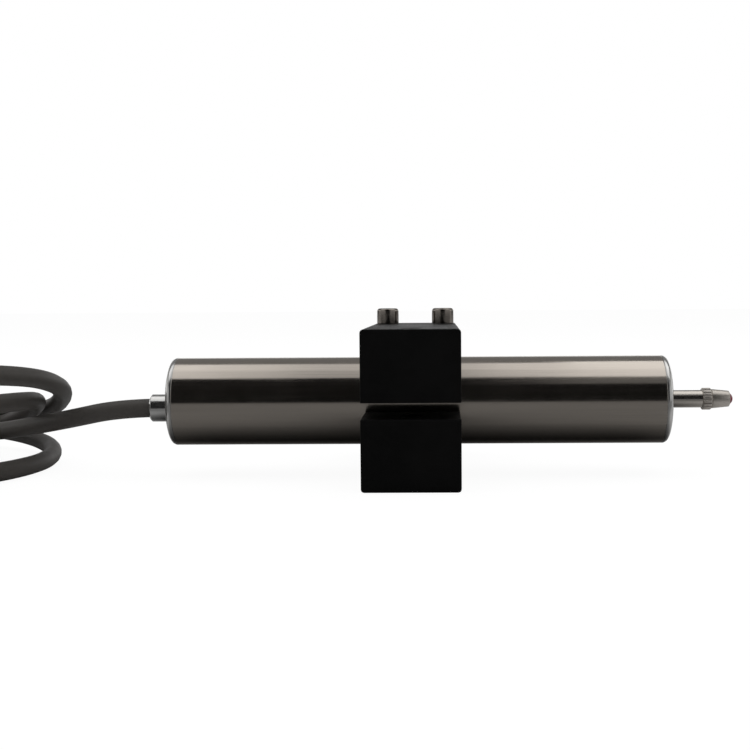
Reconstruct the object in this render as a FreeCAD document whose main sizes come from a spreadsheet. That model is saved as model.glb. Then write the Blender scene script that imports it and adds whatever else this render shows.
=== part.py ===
"""Displacement sensor: a spring-loaded LVDT gauge head with its slit clamp block and its cable.

Millimetres. The sensor lies along X with its contact tip at +X. The origin is on the clamp block's
bottom face, below the tube's axis and half-way along the block, and +Z is up. Each turned piece is
drawn in its own frame, from its own rear end, and placed by its body's Placement.
"""
import FreeCAD, Part
import math
import os
import re

import Sketcher

V = FreeCAD.Vector

# Driving dimensions: alias, value, meaning
SIZES = [
    ("AxisHeight", 17.0, "tube axis above the clamp block's bottom face"),
    ("EdgeBreak", 0.15, "small chamfer on turned edges"),
    ("SeatGap", 0.05, "radial clearance of a seated piece"),
    ("RunGap", 0.03, "radial clearance of the rod in its bushing"),
    ("SlideGap", 0.04, "radial clearance of the tube in the clamp"),
    # Body tube
    ("TubeOuter", 20.0, "diameter of the body tube"),
    ("TubeWall", 1.25, "wall of the body tube"),
    ("TubeLength", 110.0, "length of the body tube"),
    ("TubeShift", 1.25, "middle of the tube ahead of the clamp's middle"),
    # End caps
    ("CapFlange", 0.6, "length of the cap's flush flange"),
    ("CapChamfer", 0.95, "chamfer round the cap's face"),
    ("FrontSpigot", 9.0, "length of the front cap inside the tube"),
    ("RearSpigot", 7.5, "length of the rear cap inside the tube"),
    ("CapFloor", 3.0, "thickness of the rear cap's floor"),
    ("CapPocket", 13.0, "diameter of the rear cap's pocket"),
    # Rod guide
    ("WiperDepth", 1.6, "depth of the wiper's seat in the front cap"),
    ("WiperLength", 1.4, "length of the wiper seal"),
    ("BushingOuter", 7.4, "diameter of the front bushing and the wiper seal"),
    ("BushingLength", 12.0, "length of the front bushing"),
    ("SleeveLength", 25.0, "length of the guide sleeve"),
    ("SleeveWall", 2.0, "wall of the guide sleeve"),
    ("PinDiameter", 1.9, "diameter of the guide pin"),
    ("PinDepth", 3.0, "depth of the guide pin in the shoulder"),
    ("PinEase", 0.1, "room on each side of the pin in its slot"),
    ("PinSink", 0.5, "guide pin's outer end below the sleeve's outside"),
    ("SlotEase", 0.5, "room past the pin at each end of its slot"),
    # Plunger
    ("Stroke", 6.0, "inward travel of the probe rod"),
    ("RodDiameter", 4.0, "diameter of the probe rod"),
    ("RodReach", 8.1, "rod that shows between cap and tip"),
    ("ShoulderDiameter", 9.0, "diameter of the rod's shoulder"),
    ("ShoulderLength", 4.0, "length of the rod's shoulder"),
    ("StopGap", 0.05, "shoulder to bushing when fully out"),
    ("RodTail", 4.5, "rod behind the shoulder"),
    ("StudDiameter", 2.5, "thread that carries the contact tip"),
    ("StudLength", 3.5, "length of that thread"),
    ("ExtensionDiameter", 2.4, "diameter of the core rod"),
    ("ExtensionDepth", 4.0, "core rod inside the probe rod"),
    ("CoreNeck", 1.6, "core rod inside the core"),
    ("CoreOuter", 4.0, "diameter of the magnetic core"),
    ("CoreLength", 24.0, "length of the magnetic core"),
    ("NutAcross", 3.2, "core nut across its flats"),
    ("NutLength", 1.6, "thickness of the core nut"),
    ("NeckProud", 0.5, "core rod past its nut"),
    # Contact tip
    ("CollarDiameter", 5.0, "diameter of the knurled collar"),
    ("CollarLength", 2.0, "length of the knurled collar"),
    ("NeckLength", 0.2, "groove between collar and nose"),
    ("NoseRoot", 4.4, "nose diameter at the collar"),
    ("NoseEnd", 3.65, "nose diameter at the ball"),
    ("NoseLength", 4.05, "length of the tapered nose"),
    ("NoseChamfer", 0.13, "chamfer at the nose's end"),
    ("BallDiameter", 3.0, "diameter of the ruby ball"),
    ("BallProud", 0.67, "ball past the nose's end"),
    ("KnurlDepth", 0.2, "depth of the collar's grooves"),
    ("KnurlCount", 18, "grooves round the collar"),
    # Return spring
    ("SeatThickness", 1.5, "thickness of the spring seat"),
    ("SpringMean", 8.0, "mean diameter of the return spring"),
    ("SpringWire", 0.7, "wire of the return spring"),
    ("SpringTurns", 4.0, "turns of the return spring"),
    # Transformer
    ("CoilBore", 5.2, "bore of the coil former"),
    ("CoilTube", 7.0, "diameter of the former between its flanges"),
    ("CoilFlange", 1.2, "thickness of the former's flanges"),
    ("PrimaryWidth", 14.4, "width of the primary's chamber"),
    ("WindingOuter", 14.6, "outer diameter of the windings"),
    ("ShieldWall", 0.6, "wall of the magnetic shield"),
    # Electronics
    ("SpacerWall", 1.0, "wall of the rear spacer"),
    ("SpacerLength", 25.0, "length of the rear spacer"),
    ("BoardLength", 17.0, "length of the circuit board"),
    ("BoardThickness", 1.2, "thickness of the circuit board"),
    ("BoardGap", 2.0, "from the coil former to the board"),
    ("WireDiameter", 0.5, "diameter of the coil leads"),
    ("CoreWire", 0.8, "diameter of the cable's cores"),
    ("WireEase", 0.03, "room between a wire and the board"),
    ("WireSpread", 3.0, "from one coil lead to the next"),
    ("WireReach", 2.0, "coil leads over the board"),
    ("CoreSpread", 0.92, "from one of the cable's cores to the next"),
    ("CoreReach", 3.5, "the cable's cores under the board"),
    # Cable entry
    ("CableDiameter", 4.3, "diameter of the cable"),
    ("CableDrop", 1.5, "cable axis below the tube's axis"),
    ("FerruleDiameter", 6.3, "diameter of the cable ferrule"),
    ("FerruleReach", 5.2, "ferrule outside the rear cap"),
    ("FerruleThread", 5.2, "ferrule inside the rear cap's floor"),
    ("FerruleChamfer", 0.4, "chamfer at the ferrule's mouth"),
    ("GrommetDiameter", 7.4, "diameter of the grommet"),
    ("GrommetLength", 2.8, "length of the grommet"),
    ("CrimpDiameter", 6.2, "diameter of the crimp ring"),
    ("CrimpLength", 2.8, "length of the crimp ring"),
    ("JacketEnd", 2.1, "cable jacket past the crimp ring"),
    # Clamp
    ("BlockWidth", 21.0, "clamp block along the tube"),
    ("BlockHeight", 34.0, "height of the clamp block"),
    ("BlockFront", 27.7, "tube axis to the block's front face"),
    ("BlockRear", 40.0, "tube axis to the block's rear face"),
    ("BlockRound", 0.8, "radius of the block's four long edges"),
    ("BlockBreak", 0.3, "chamfer round the block's front and rear faces"),
    ("SlitGap", 3.4, "height of the slit in the front lip"),
    ("ClampHole", 4.3, "hole for the clamp screw in the front lip"),
    ("ScrewPitch", 14.0, "distance between the two mounting screws"),
    ("ScrewPlace", 32.0, "tube axis to the mounting screws"),
    ("ScrewHole", 3.4, "hole for a mounting screw"),
    ("ScrewShank", 3.0, "shank of a mounting screw"),
    ("ScrewLength", 32.0, "length of a mounting screw under its head"),
    ("HeadDiameter", 5.5, "diameter of a screw's head"),
    ("HeadHeight", 3.9, "height of a screw's head"),
    ("HeadChamfer", 0.35, "chamfer round a screw's head"),
    ("SocketAcross", 2.5, "hexagon socket across its flats"),
    ("SocketDepth", 1.8, "depth of the hexagon socket"),
    # Cable coil
    ("CoilCentreAlong", -133.0, "coil centre along X"),
    ("CoilCentreAcross", 6.0, "coil centre along Y"),
    ("CoilOuterReach", 58.0, "outer radius of the coil"),
    ("CoilInnerReach", 34.0, "inner radius of the coil"),
    ("CoilNearTop", 28.0, "top of the coil at its near side"),
    ("CoilFarTop", 14.0, "top of the coil at its far side"),
    ("CoilCorner", 5.0, "chamfer round the coil's top"),
    # Bare leads
    ("LeadDiameter", 1.2, "diameter of a bare lead's insulation"),
    ("LeadTip", 0.7, "diameter of a bare lead's tinned end"),
    ("LeadTipLength", 4.0, "length of that end"),
]

# Stations along X, written with the sheet's aliases
TUBE_REAR = "(TubeShift - TubeLength / 2)"
TUBE_FRONT = "(TubeShift + TubeLength / 2)"
FRONT_FACE = f"({TUBE_FRONT} + CapFlange + CapChamfer)"
REAR_FACE = f"({TUBE_REAR} - CapFlange - CapChamfer)"
BUSHING_REAR = f"({FRONT_FACE} - WiperDepth - BushingLength)"
SHOULDER_REAR = f"({BUSHING_REAR} - StopGap - ShoulderLength)"
SLEEVE_REAR = f"({TUBE_FRONT} - FrontSpigot - SleeveLength)"
COIL_FRONT = f"({SLEEVE_REAR} - SeatThickness)"
SPACER_REAR = f"({TUBE_REAR} + RearSpigot)"
COIL_REAR = f"({SPACER_REAR} + SpacerLength)"
COIL_LENGTH = f"({COIL_FRONT} - {COIL_REAR})"
CORE_REAR = f"({COIL_FRONT} - {COIL_LENGTH} / 2 + Stroke / 2 - CoreLength / 2)"
TIP_REAR = f"({FRONT_FACE} + RodReach)"
TIP_LENGTH = "(CollarLength + NeckLength + NoseLength + NoseChamfer)"
FERRULE_MOUTH = f"({REAR_FACE} - FerruleReach)"
CAP_INSIDE = f"({REAR_FACE} + CapFloor)"
JACKET_FRONT = f"({CAP_INSIDE} + GrommetLength + CrimpLength + JacketEnd)"
BOARD_FRONT = f"({COIL_REAR} - BoardGap)"

# Radii
INSIDE = "(TubeOuter / 2 - TubeWall)"
SEATED = f"({INSIDE} - SeatGap)"
SHIELD_INSIDE = f"({SEATED} - ShieldWall)"
SPACER_INSIDE = f"({SEATED} - SpacerWall)"
SLEEVE_INSIDE = f"({SEATED} - SleeveWall)"
CABLE_BORE = "(CableDiameter / 2 + SeatGap)"
SECONDARY_WIDTH = f"(({COIL_LENGTH} - PrimaryWidth - 4 * CoilFlange) / 2)"
CABLE_HEIGHT = "(AxisHeight - CableDrop)"

doc = FreeCAD.newDocument("displacement_sensor")
sheet = doc.addObject("Spreadsheet::Sheet", "Sizes")
pieces = []


def fill_sheet():
    """Write the driving dimensions, one row each."""
    for row, (alias, number, meaning) in enumerate(SIZES, start=1):
        sheet.set(f"A{row}", alias)
        sheet.set(f"B{row}", str(number))
        sheet.setAlias(f"B{row}", alias)
        sheet.set(f"C{row}", meaning)
    doc.recompute()


def bound(text):
    """The same text with each alias named as a cell of the sheet."""
    return re.sub(r"\b[A-Z][A-Za-z]+\b", lambda word: "Sizes." + word.group(0), text)


def value(text):
    """What an expression of aliases comes to now."""
    return float(sheet.evalExpression(bound(text)))


def plane(body, role):
    """One of a body's own origin planes or axes."""
    return next(item for item in body.Origin.OriginFeatures if item.Role == role)


def place(item, along="0", across="0", up="AxisHeight"):
    """Bind an object's place to the sheet; across and up are the Y and Z of its own X axis."""
    item.setExpression("Placement.Base.x", bound(along))
    item.setExpression("Placement.Base.y", bound(across))
    item.setExpression("Placement.Base.z", bound(up))


def keep(item):
    """List an object as a sub-part that gets its own file."""
    pieces.append(item)
    return item


def new_body(name):
    """An empty body with its own Label."""
    body = doc.addObject("PartDesign::Body", name)
    body.Label = name
    return body


def new_sketch(body, name, role):
    """An empty sketch on one of the body's own planes."""
    sketch = body.newObject("Sketcher::SketchObject", name)
    sketch.AttachmentSupport = [(plane(body, role), "")]
    sketch.MapMode = "FlatFace"
    return sketch


def fix_point(sketch, item, point, across, up):
    """Tie a line's first point (1) or a circle's centre (3) to the origin by two expressions."""
    for text, kind, axis in ((across, "DistanceX", -2), (up, "DistanceY", -1)):
        if text == "0":
            sketch.addConstraint(Sketcher.Constraint("PointOnObject", item, point, axis))
            continue
        number = sketch.addConstraint(Sketcher.Constraint(kind, -1, 1, item, point, value(text)))
        sketch.setExpression(f"Constraints[{number}]", bound(text))


def outline(sketch, points):
    """A closed outline of straight lines through points given as pairs of expressions."""
    spots = [V(value(across), value(up), 0) for across, up in points]
    first = sketch.GeometryCount
    count = len(points)
    for index in range(count):
        sketch.addGeometry(Part.LineSegment(spots[index], spots[(index + 1) % count]), False)
    for index in range(count):
        after = first + (index + 1) % count
        sketch.addConstraint(Sketcher.Constraint("Coincident", first + index, 2, after, 1))
    for index, (across, up) in enumerate(points):
        fix_point(sketch, first + index, 1, across, up)


def circle(sketch, across, up, radius):
    """A full circle tied to the sheet."""
    spot = V(value(across), value(up), 0)
    shape = Part.Circle(spot, V(0, 0, 1), value(radius))
    ring = sketch.addGeometry(shape, False)
    fix_point(sketch, ring, 3, across, up)
    number = sketch.addConstraint(Sketcher.Constraint("Radius", ring, value(radius)))
    sketch.setExpression(f"Constraints[{number}]", bound(radius))


def turned(name, points):
    """A body turned about its own X axis from an outline of (x, radius) expressions."""
    body = new_body(name)
    sketch = new_sketch(body, name + "_profile", "XZ_Plane")
    outline(sketch, points)
    turn = body.newObject("PartDesign::Revolution", name + "_turned")
    turn.Profile = sketch
    turn.ReferenceAxis = (sketch, ["H_Axis"])
    turn.Angle = 360
    doc.recompute()
    return body


def sleeve(name, length, inner, outer):
    """A plain turned sleeve."""
    return turned(name, [("0", inner), ("0", outer), (length, outer), (length, inner)])


def pocket(body, sketch, length, reverse=False, both=False):
    """Cut a sketch's outline out of a body, and check that it did cut something."""
    before = body.Shape.Volume
    cut = body.newObject("PartDesign::Pocket", sketch.Name + "_cut")
    cut.Profile = sketch
    cut.Reversed = reverse
    if both:
        cut.SideType = "Symmetric"
    cut.setExpression("Length", bound(length))
    doc.recompute()
    if body.Shape.Volume > before - 1e-6:
        raise RuntimeError(f"{sketch.Name} cuts nothing")
    return cut


# The fixed pieces of the sensor


def make_body_tube():
    body = sleeve("body_tube", "TubeLength", INSIDE, "TubeOuter / 2")
    place(body, TUBE_REAR)
    return keep(body)


def flange_outline(seat):
    """The flush flange and its chamfer, from the tube's end to the cap's face."""
    rim = "TubeOuter / 2"
    face = f"{seat} + CapFlange + CapChamfer"
    return [
        (seat, f"{rim} - EdgeBreak"),
        (f"{seat} + EdgeBreak", rim),
        (f"{seat} + CapFlange", rim),
        (face, f"{rim} - CapChamfer"),
    ]


def make_front_cap():
    face = "FrontSpigot + CapFlange + CapChamfer"
    hole = "BushingOuter / 2 + SeatGap"
    points = [("0", hole), ("0", SEATED), ("FrontSpigot", SEATED)]
    body = turned("front_cap", points + flange_outline("FrontSpigot") + [(face, hole)])
    place(body, f"{TUBE_FRONT} - FrontSpigot")
    return keep(body)


def make_rear_cap():
    """The rear cap, drawn from its inner end and turned end for end by its Placement."""
    face = "RearSpigot + CapFlange + CapChamfer"
    floor = f"{face} - CapFloor"
    points = [("0", "CapPocket / 2"), ("0", SEATED), ("RearSpigot", SEATED)]
    points += flange_outline("RearSpigot") + [(face, "0"), (floor, "0"), (floor, "CapPocket / 2")]
    body = turned("rear_cap", points)
    hole = new_sketch(body, "cable_hole", "YZ_Plane")
    circle(hole, "0", "-CableDrop", "FerruleThread / 2 + SeatGap")
    pocket(body, hole, face + " + EdgeBreak", reverse=True)
    body.Placement.Rotation = FreeCAD.Rotation(V(0, 0, 1), 180)
    place(body, SPACER_REAR)
    return keep(body)


def make_wiper_seal():
    """A rubber ring whose bore narrows to a lip that wipes the rod."""
    bore = "RodDiameter / 2 + RunGap"
    outer = "BushingOuter / 2"
    rear_end = [("0", f"{bore} + 4 * EdgeBreak"), ("0", outer)]
    body = turned("wiper_seal", rear_end + [("WiperLength", outer), ("WiperLength", bore)])
    place(body, f"{FRONT_FACE} - WiperDepth")
    return keep(body)


def make_front_bushing():
    bore = "(RodDiameter / 2 + RunGap)"
    body = sleeve("front_bushing", "BushingLength", bore, "BushingOuter / 2")
    place(body, BUSHING_REAR)
    return keep(body)


def make_guide_sleeve():
    """The sleeve that keeps the coil in place and the rod from turning, with its long slot on top."""
    body = sleeve("guide_sleeve", "SleeveLength", SLEEVE_INSIDE, SEATED)
    pin = f"({SHOULDER_REAR} + ShoulderLength / 2 - {SLEEVE_REAR})"
    half = "(PinDiameter / 2 + PinEase)"
    near = f"{pin} - Stroke - PinDiameter / 2 - SlotEase"
    far = f"{pin} + PinDiameter / 2 + SlotEase"
    slot = new_sketch(body, "guide_slot", "XY_Plane")
    outline(slot, [(near, f"-{half}"), (far, f"-{half}"), (far, half), (near, half)])
    pocket(body, slot, "TubeOuter / 2", reverse=True)
    place(body, SLEEVE_REAR)
    return keep(body)


def make_spring_seat():
    """A washer between the guide sleeve and the coil former, which the spring pushes on."""
    body = sleeve("spring_seat", "SeatThickness", "ExtensionDiameter / 2 + 8 * SeatGap", SEATED)
    place(body, COIL_FRONT)
    return keep(body)


def make_return_spring():
    """A helical spring of square wire from its seat to the rod's shoulder, at its longest."""
    room = f"({SHOULDER_REAR} - {SLEEVE_REAR} - 2 * SeatGap)"
    helix = doc.addObject("Part::Helix", "spring_line")
    helix.setExpression("Radius", bound("SpringMean / 2"))
    helix.setExpression("Height", bound(f"{room} - SpringWire"))
    helix.setExpression("Pitch", bound(f"({room} - SpringWire) / SpringTurns"))
    helix.Style = "New style"
    wire = doc.addObject("Part::Plane", "spring_section")
    wire.setExpression("Length", bound("SpringWire"))
    wire.setExpression("Width", bound("SpringWire"))
    wire.Placement.Rotation = FreeCAD.Rotation(V(1, 0, 0), 90)
    wire.setExpression("Placement.Base.x", bound("SpringMean / 2 - SpringWire / 2"))
    wire.setExpression("Placement.Base.z", bound("-SpringWire / 2"))
    spring = doc.addObject("Part::Sweep", "return_spring")
    spring.Label = "return_spring"
    doc.recompute()
    spring.Sections = [wire]
    spring.Spine = (helix, [f"Edge{index + 1}" for index in range(len(helix.Shape.Edges))])
    spring.Solid = True
    spring.Frenet = True
    spring.Placement.Rotation = FreeCAD.Rotation(V(0, 1, 0), 90)
    place(spring, f"{SLEEVE_REAR} + SeatGap + SpringWire / 2")
    return keep(spring)


def make_coil_former():
    """A bobbin with three chambers: one for the primary and one on each side for a secondary."""
    tube = "CoilTube / 2"
    rim = f"{SHIELD_INSIDE} - SeatGap"
    starts = ["0"]
    for width in (SECONDARY_WIDTH, "PrimaryWidth", SECONDARY_WIDTH):
        starts.append(f"{starts[-1]} + CoilFlange + {width}")
    points = [("0", "CoilBore / 2")]
    for index, start in enumerate(starts):
        edge = f"{start} + CoilFlange"
        points += [(start, tube)] if index else []
        points += [(start, rim), (edge, rim)]
        points += [(edge, tube)] if index < len(starts) - 1 else []
    points.append((COIL_LENGTH, "CoilBore / 2"))
    body = turned("coil_former", points)
    place(body, COIL_REAR)
    return keep(body)


def make_winding(name, start, width):
    """One winding, a ring of wire that fills its chamber."""
    inner = "(CoilTube / 2 + SeatGap)"
    body = sleeve(name, f"({width} - 2 * SeatGap)", inner, "WindingOuter / 2")
    place(body, f"{COIL_REAR} + {start} + SeatGap")
    return keep(body)


def make_shield_tube():
    body = sleeve("shield_tube", COIL_LENGTH, SHIELD_INSIDE, SEATED)
    place(body, COIL_REAR)
    return keep(body)


def make_rear_spacer():
    body = sleeve("rear_spacer", "SpacerLength", SPACER_INSIDE, SEATED)
    place(body, SPACER_REAR)
    return keep(body)


# The circuit board and its wires


def make_circuit_board():
    """A board across the middle of the rear spacer, as wide as the spacer's inside lets it be."""
    board = doc.addObject("Part::Box", "circuit_board")
    board.Label = "circuit_board"
    half = f"(sqrt({SPACER_INSIDE}^2 - (BoardThickness / 2)^2) - SeatGap)"
    board.setExpression("Length", bound("BoardLength"))
    board.setExpression("Width", bound(f"2 * {half}"))
    board.setExpression("Height", bound("BoardThickness"))
    place(board, f"{BOARD_FRONT} - BoardLength", f"-{half}", "AxisHeight - BoardThickness / 2")
    return keep(board)


# Board parts: name, from the board's front edge to the part's middle, across, length, width, height
BOARD_PARTS = [
    ("driver_chip", 6.0, 0.0, 5.0, 4.0, 1.4),
    ("amplifier_chip", 12.5, -2.6, 4.0, 3.2, 1.2),
    ("front_capacitor", 10.8, 3.6, 1.6, 2.4, 1.6),
    ("rear_capacitor", 14.0, 3.6, 1.6, 2.4, 1.6),
    ("near_resistor", 5.0, -4.2, 2.0, 1.0, 0.6),
    ("far_resistor", 5.0, 4.2, 2.0, 1.0, 0.6),
]


def make_board_parts():
    """Chips, capacitors and resistors that stand on the board, as one group."""
    boxes = []
    for name, back, across, length, width, height in BOARD_PARTS:
        box = doc.addObject("Part::Box", name)
        box.Length, box.Width, box.Height = length, width, height
        place(
            box,
            f"{BOARD_FRONT} - {back + length / 2}",
            str(across - width / 2),
            "AxisHeight + BoardThickness / 2",
        )
        boxes.append(box)
    group = doc.addObject("Part::Compound", "board_parts")
    group.Label = "board_parts"
    group.Links = boxes
    return keep(group)


WIRE_SIDES = 8
WIRE_COUNT = 4


def make_wires(name, rear, length, diameter, height, spread):
    """A row of straight wires along X, as one group."""
    wires = []
    for index in range(WIRE_COUNT):
        wire = doc.addObject("Part::Prism", f"{name}_{index + 1}")
        wire.Polygon = WIRE_SIDES
        wire.setExpression("Circumradius", bound(f"{diameter} / 2"))
        wire.setExpression("Height", bound(length))
        wire.Placement.Rotation = FreeCAD.Rotation(V(0, 1, 0), 90)
        place(wire, rear, f"{index - (WIRE_COUNT - 1) / 2} * {spread}", height)
        wires.append(wire)
    group = doc.addObject("Part::Compound", name)
    group.Label = name
    group.Links = wires
    return keep(group)


def make_coil_leads():
    """The windings' ends, from the former's rear flange on to the board."""
    length = "(BoardGap + WireReach)"
    height = "AxisHeight + BoardThickness / 2 + WireDiameter / 2 + WireEase"
    return make_wires("coil_leads", f"{COIL_REAR} - {length}", length, "WireDiameter", height, "WireSpread")


def make_cable_cores():
    """The cable's cores, from the end of its jacket to below the board."""
    length = f"({BOARD_FRONT} - BoardLength - {JACKET_FRONT} + CoreReach)"
    height = "AxisHeight - BoardThickness / 2 - CoreWire / 2 - WireEase"
    return make_wires("cable_cores", JACKET_FRONT, length, "CoreWire", height, "CoreSpread")


# The cable's way in


def make_cable_ferrule():
    body = turned(
        "cable_ferrule",
        [
            ("0", CABLE_BORE),
            ("0", "FerruleDiameter / 2 - FerruleChamfer"),
            ("FerruleChamfer", "FerruleDiameter / 2"),
            ("FerruleReach", "FerruleDiameter / 2"),
            ("FerruleReach", "FerruleThread / 2"),
            ("FerruleReach + CapFloor", "FerruleThread / 2"),
            ("FerruleReach + CapFloor", CABLE_BORE),
        ],
    )
    place(body, FERRULE_MOUTH, up=CABLE_HEIGHT)
    return keep(body)


def make_cable_grommet():
    body = sleeve("cable_grommet", "GrommetLength", CABLE_BORE, "GrommetDiameter / 2")
    place(body, CAP_INSIDE, up=CABLE_HEIGHT)
    return keep(body)


def make_cable_crimp():
    body = sleeve("cable_crimp", "CrimpLength", CABLE_BORE, "CrimpDiameter / 2")
    place(body, f"{CAP_INSIDE} + GrommetLength", up=CABLE_HEIGHT)
    return keep(body)


def make_cable_entry():
    """The stretch of cable that the ferrule, grommet and crimp ring hold."""
    body = turned(
        "cable_entry",
        [
            ("0", "0"),
            ("0", "CableDiameter / 2"),
            (f"{JACKET_FRONT} - {FERRULE_MOUTH}", "CableDiameter / 2"),
            (f"{JACKET_FRONT} - {FERRULE_MOUTH}", "0"),
        ],
    )
    place(body, FERRULE_MOUTH, up=CABLE_HEIGHT)
    return keep(body)


# The plunger


def make_probe_rod():
    """The rod in one piece: tail, shoulder, rod and the stud for the contact tip."""
    shoulder = "RodTail + ShoulderLength"
    end = f"({TIP_REAR} - {SHOULDER_REAR} + RodTail)"
    rod = "RodDiameter / 2"
    body = turned(
        "probe_rod",
        [
            ("0", "ExtensionDiameter / 2 + SeatGap"),
            ("0", rod),
            ("RodTail", rod),
            ("RodTail", "ShoulderDiameter / 2"),
            (shoulder, "ShoulderDiameter / 2"),
            (shoulder, rod),
            (end, rod),
            (end, "StudDiameter / 2"),
            (f"{end} + StudLength", "StudDiameter / 2"),
            (f"{end} + StudLength", "0"),
            ("ExtensionDepth", "0"),
            ("ExtensionDepth", "ExtensionDiameter / 2 + SeatGap"),
        ],
    )
    hole = new_sketch(body, "pin_hole", "XY_Plane")
    hole.setExpression("AttachmentOffset.Base.z", bound("ShoulderDiameter / 2 - PinDepth"))
    circle(hole, "RodTail + ShoulderLength / 2", "0", "PinDiameter / 2 + SeatGap / 2")
    pocket(body, hole, "PinDepth + EdgeBreak", reverse=True)
    place(body, f"{SHOULDER_REAR} - RodTail")
    return keep(body)


def make_guide_pin():
    """The pin that stands in the shoulder and runs in the guide sleeve's slot."""
    pin = doc.addObject("Part::Cylinder", "guide_pin")
    pin.Label = "guide_pin"
    pin.setExpression("Radius", bound("PinDiameter / 2"))
    pin.setExpression("Height", bound(f"{SEATED} - PinSink - ShoulderDiameter / 2 + PinDepth"))
    along = f"{SHOULDER_REAR} + ShoulderLength / 2"
    place(pin, along, "0", "AxisHeight + ShoulderDiameter / 2 - PinDepth")
    return keep(pin)


def make_contact_tip():
    """The screw-on contact tip: knurled collar, tapered nose and the seat of the ball."""
    collar = "CollarDiameter / 2"
    nose = "CollarLength + NeckLength"
    taper = f"{nose} + NoseLength"
    end = f"{taper} + NoseChamfer"
    ball = "BallDiameter / 2 + SeatGap"
    bottom = f"{end} + BallProud - BallDiameter - SeatGap"
    body = turned(
        "contact_tip",
        [
            ("0", "StudDiameter / 2 + SeatGap"),
            ("0", collar),
            ("CollarLength", collar),
            ("CollarLength", "NoseRoot / 2 - EdgeBreak"),
            (nose, "NoseRoot / 2 - EdgeBreak"),
            (nose, "NoseRoot / 2"),
            (taper, "NoseEnd / 2"),
            (end, "NoseEnd / 2 - NoseChamfer"),
            (end, ball),
            (bottom, ball),
            (bottom, "0"),
            ("StudLength + SeatGap", "0"),
            ("StudLength + SeatGap", "StudDiameter / 2 + SeatGap"),
        ],
    )
    groove = new_sketch(body, "knurl_groove", "YZ_Plane")
    root = f"{collar} - KnurlDepth"
    outside = f"{collar} + KnurlDepth"
    outline(groove, [("0", root), ("2 * KnurlDepth", outside), ("-2 * KnurlDepth", outside)])
    cut = pocket(body, groove, "CollarLength", reverse=True)
    ring = body.newObject("PartDesign::PolarPattern", "knurl")
    ring.Originals = [cut]
    ring.Axis = (plane(body, "X_Axis"), [""])
    ring.Angle = 360
    ring.setExpression("Occurrences", bound("KnurlCount"))
    body.Tip = ring
    place(body, TIP_REAR)
    return keep(body)


def make_ruby_ball():
    ball = doc.addObject("Part::Sphere", "ruby_ball")
    ball.Label = "ruby_ball"
    ball.setExpression("Radius", bound("BallDiameter / 2"))
    place(ball, f"{TIP_REAR} + {TIP_LENGTH} + BallProud - BallDiameter / 2")
    return keep(ball)


def make_core_rod():
    """The non-magnetic rod that carries the core, necked where the core sits."""
    neck = f"({CORE_REAR} - NutLength - NeckProud)"
    body = turned(
        "core_rod",
        [
            ("0", "0"),
            ("0", "CoreNeck / 2"),
            ("NeckProud + NutLength + CoreLength", "CoreNeck / 2"),
            ("NeckProud + NutLength + CoreLength", "ExtensionDiameter / 2"),
            (f"{SHOULDER_REAR} - RodTail + ExtensionDepth - {neck}", "ExtensionDiameter / 2"),
            (f"{SHOULDER_REAR} - RodTail + ExtensionDepth - {neck}", "0"),
        ],
    )
    place(body, neck)
    return keep(body)


def make_magnetic_core():
    bore = "(CoreNeck / 2 + SeatGap)"
    body = sleeve("magnetic_core", "CoreLength", bore, "CoreOuter / 2")
    place(body, CORE_REAR)
    return keep(body)


def make_core_nut():
    """A small hexagon nut behind the core."""
    nut = doc.addObject("Part::Prism", "nut_blank")
    nut.Polygon = 6
    nut.setExpression("Circumradius", bound("NutAcross / sqrt(3)"))
    nut.setExpression("Height", bound("NutLength"))
    bore = doc.addObject("Part::Cylinder", "nut_bore")
    bore.setExpression("Radius", bound("CoreNeck / 2 + SeatGap"))
    bore.setExpression("Height", bound("NutLength"))
    body = doc.addObject("Part::Cut", "core_nut")
    body.Label = "core_nut"
    body.Base = nut
    body.Tool = bore
    body.Placement.Rotation = FreeCAD.Rotation(V(0, 1, 0), 90)
    place(body, f"{CORE_REAR} - NutLength")
    return keep(body)


# The clamp


def edges_where(shape, test):
    """The names of a shape's edges that pass a test."""
    return [f"Edge{index + 1}" for index, edge in enumerate(shape.Edges) if test(edge)]


def runs_along(edge, way):
    """Whether an edge is straight and runs along a direction."""
    ends = edge.Vertexes
    return (ends[1].Point - ends[0].Point).normalize().cross(way).Length < 1e-6


def lies_across(edge, places):
    """Whether all of an edge lies in a plane across Y at one of the given places."""
    box = edge.BoundBox
    return box.YLength < 1e-6 and any(abs(box.YMin - spot) < 1e-6 for spot in places)


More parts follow.
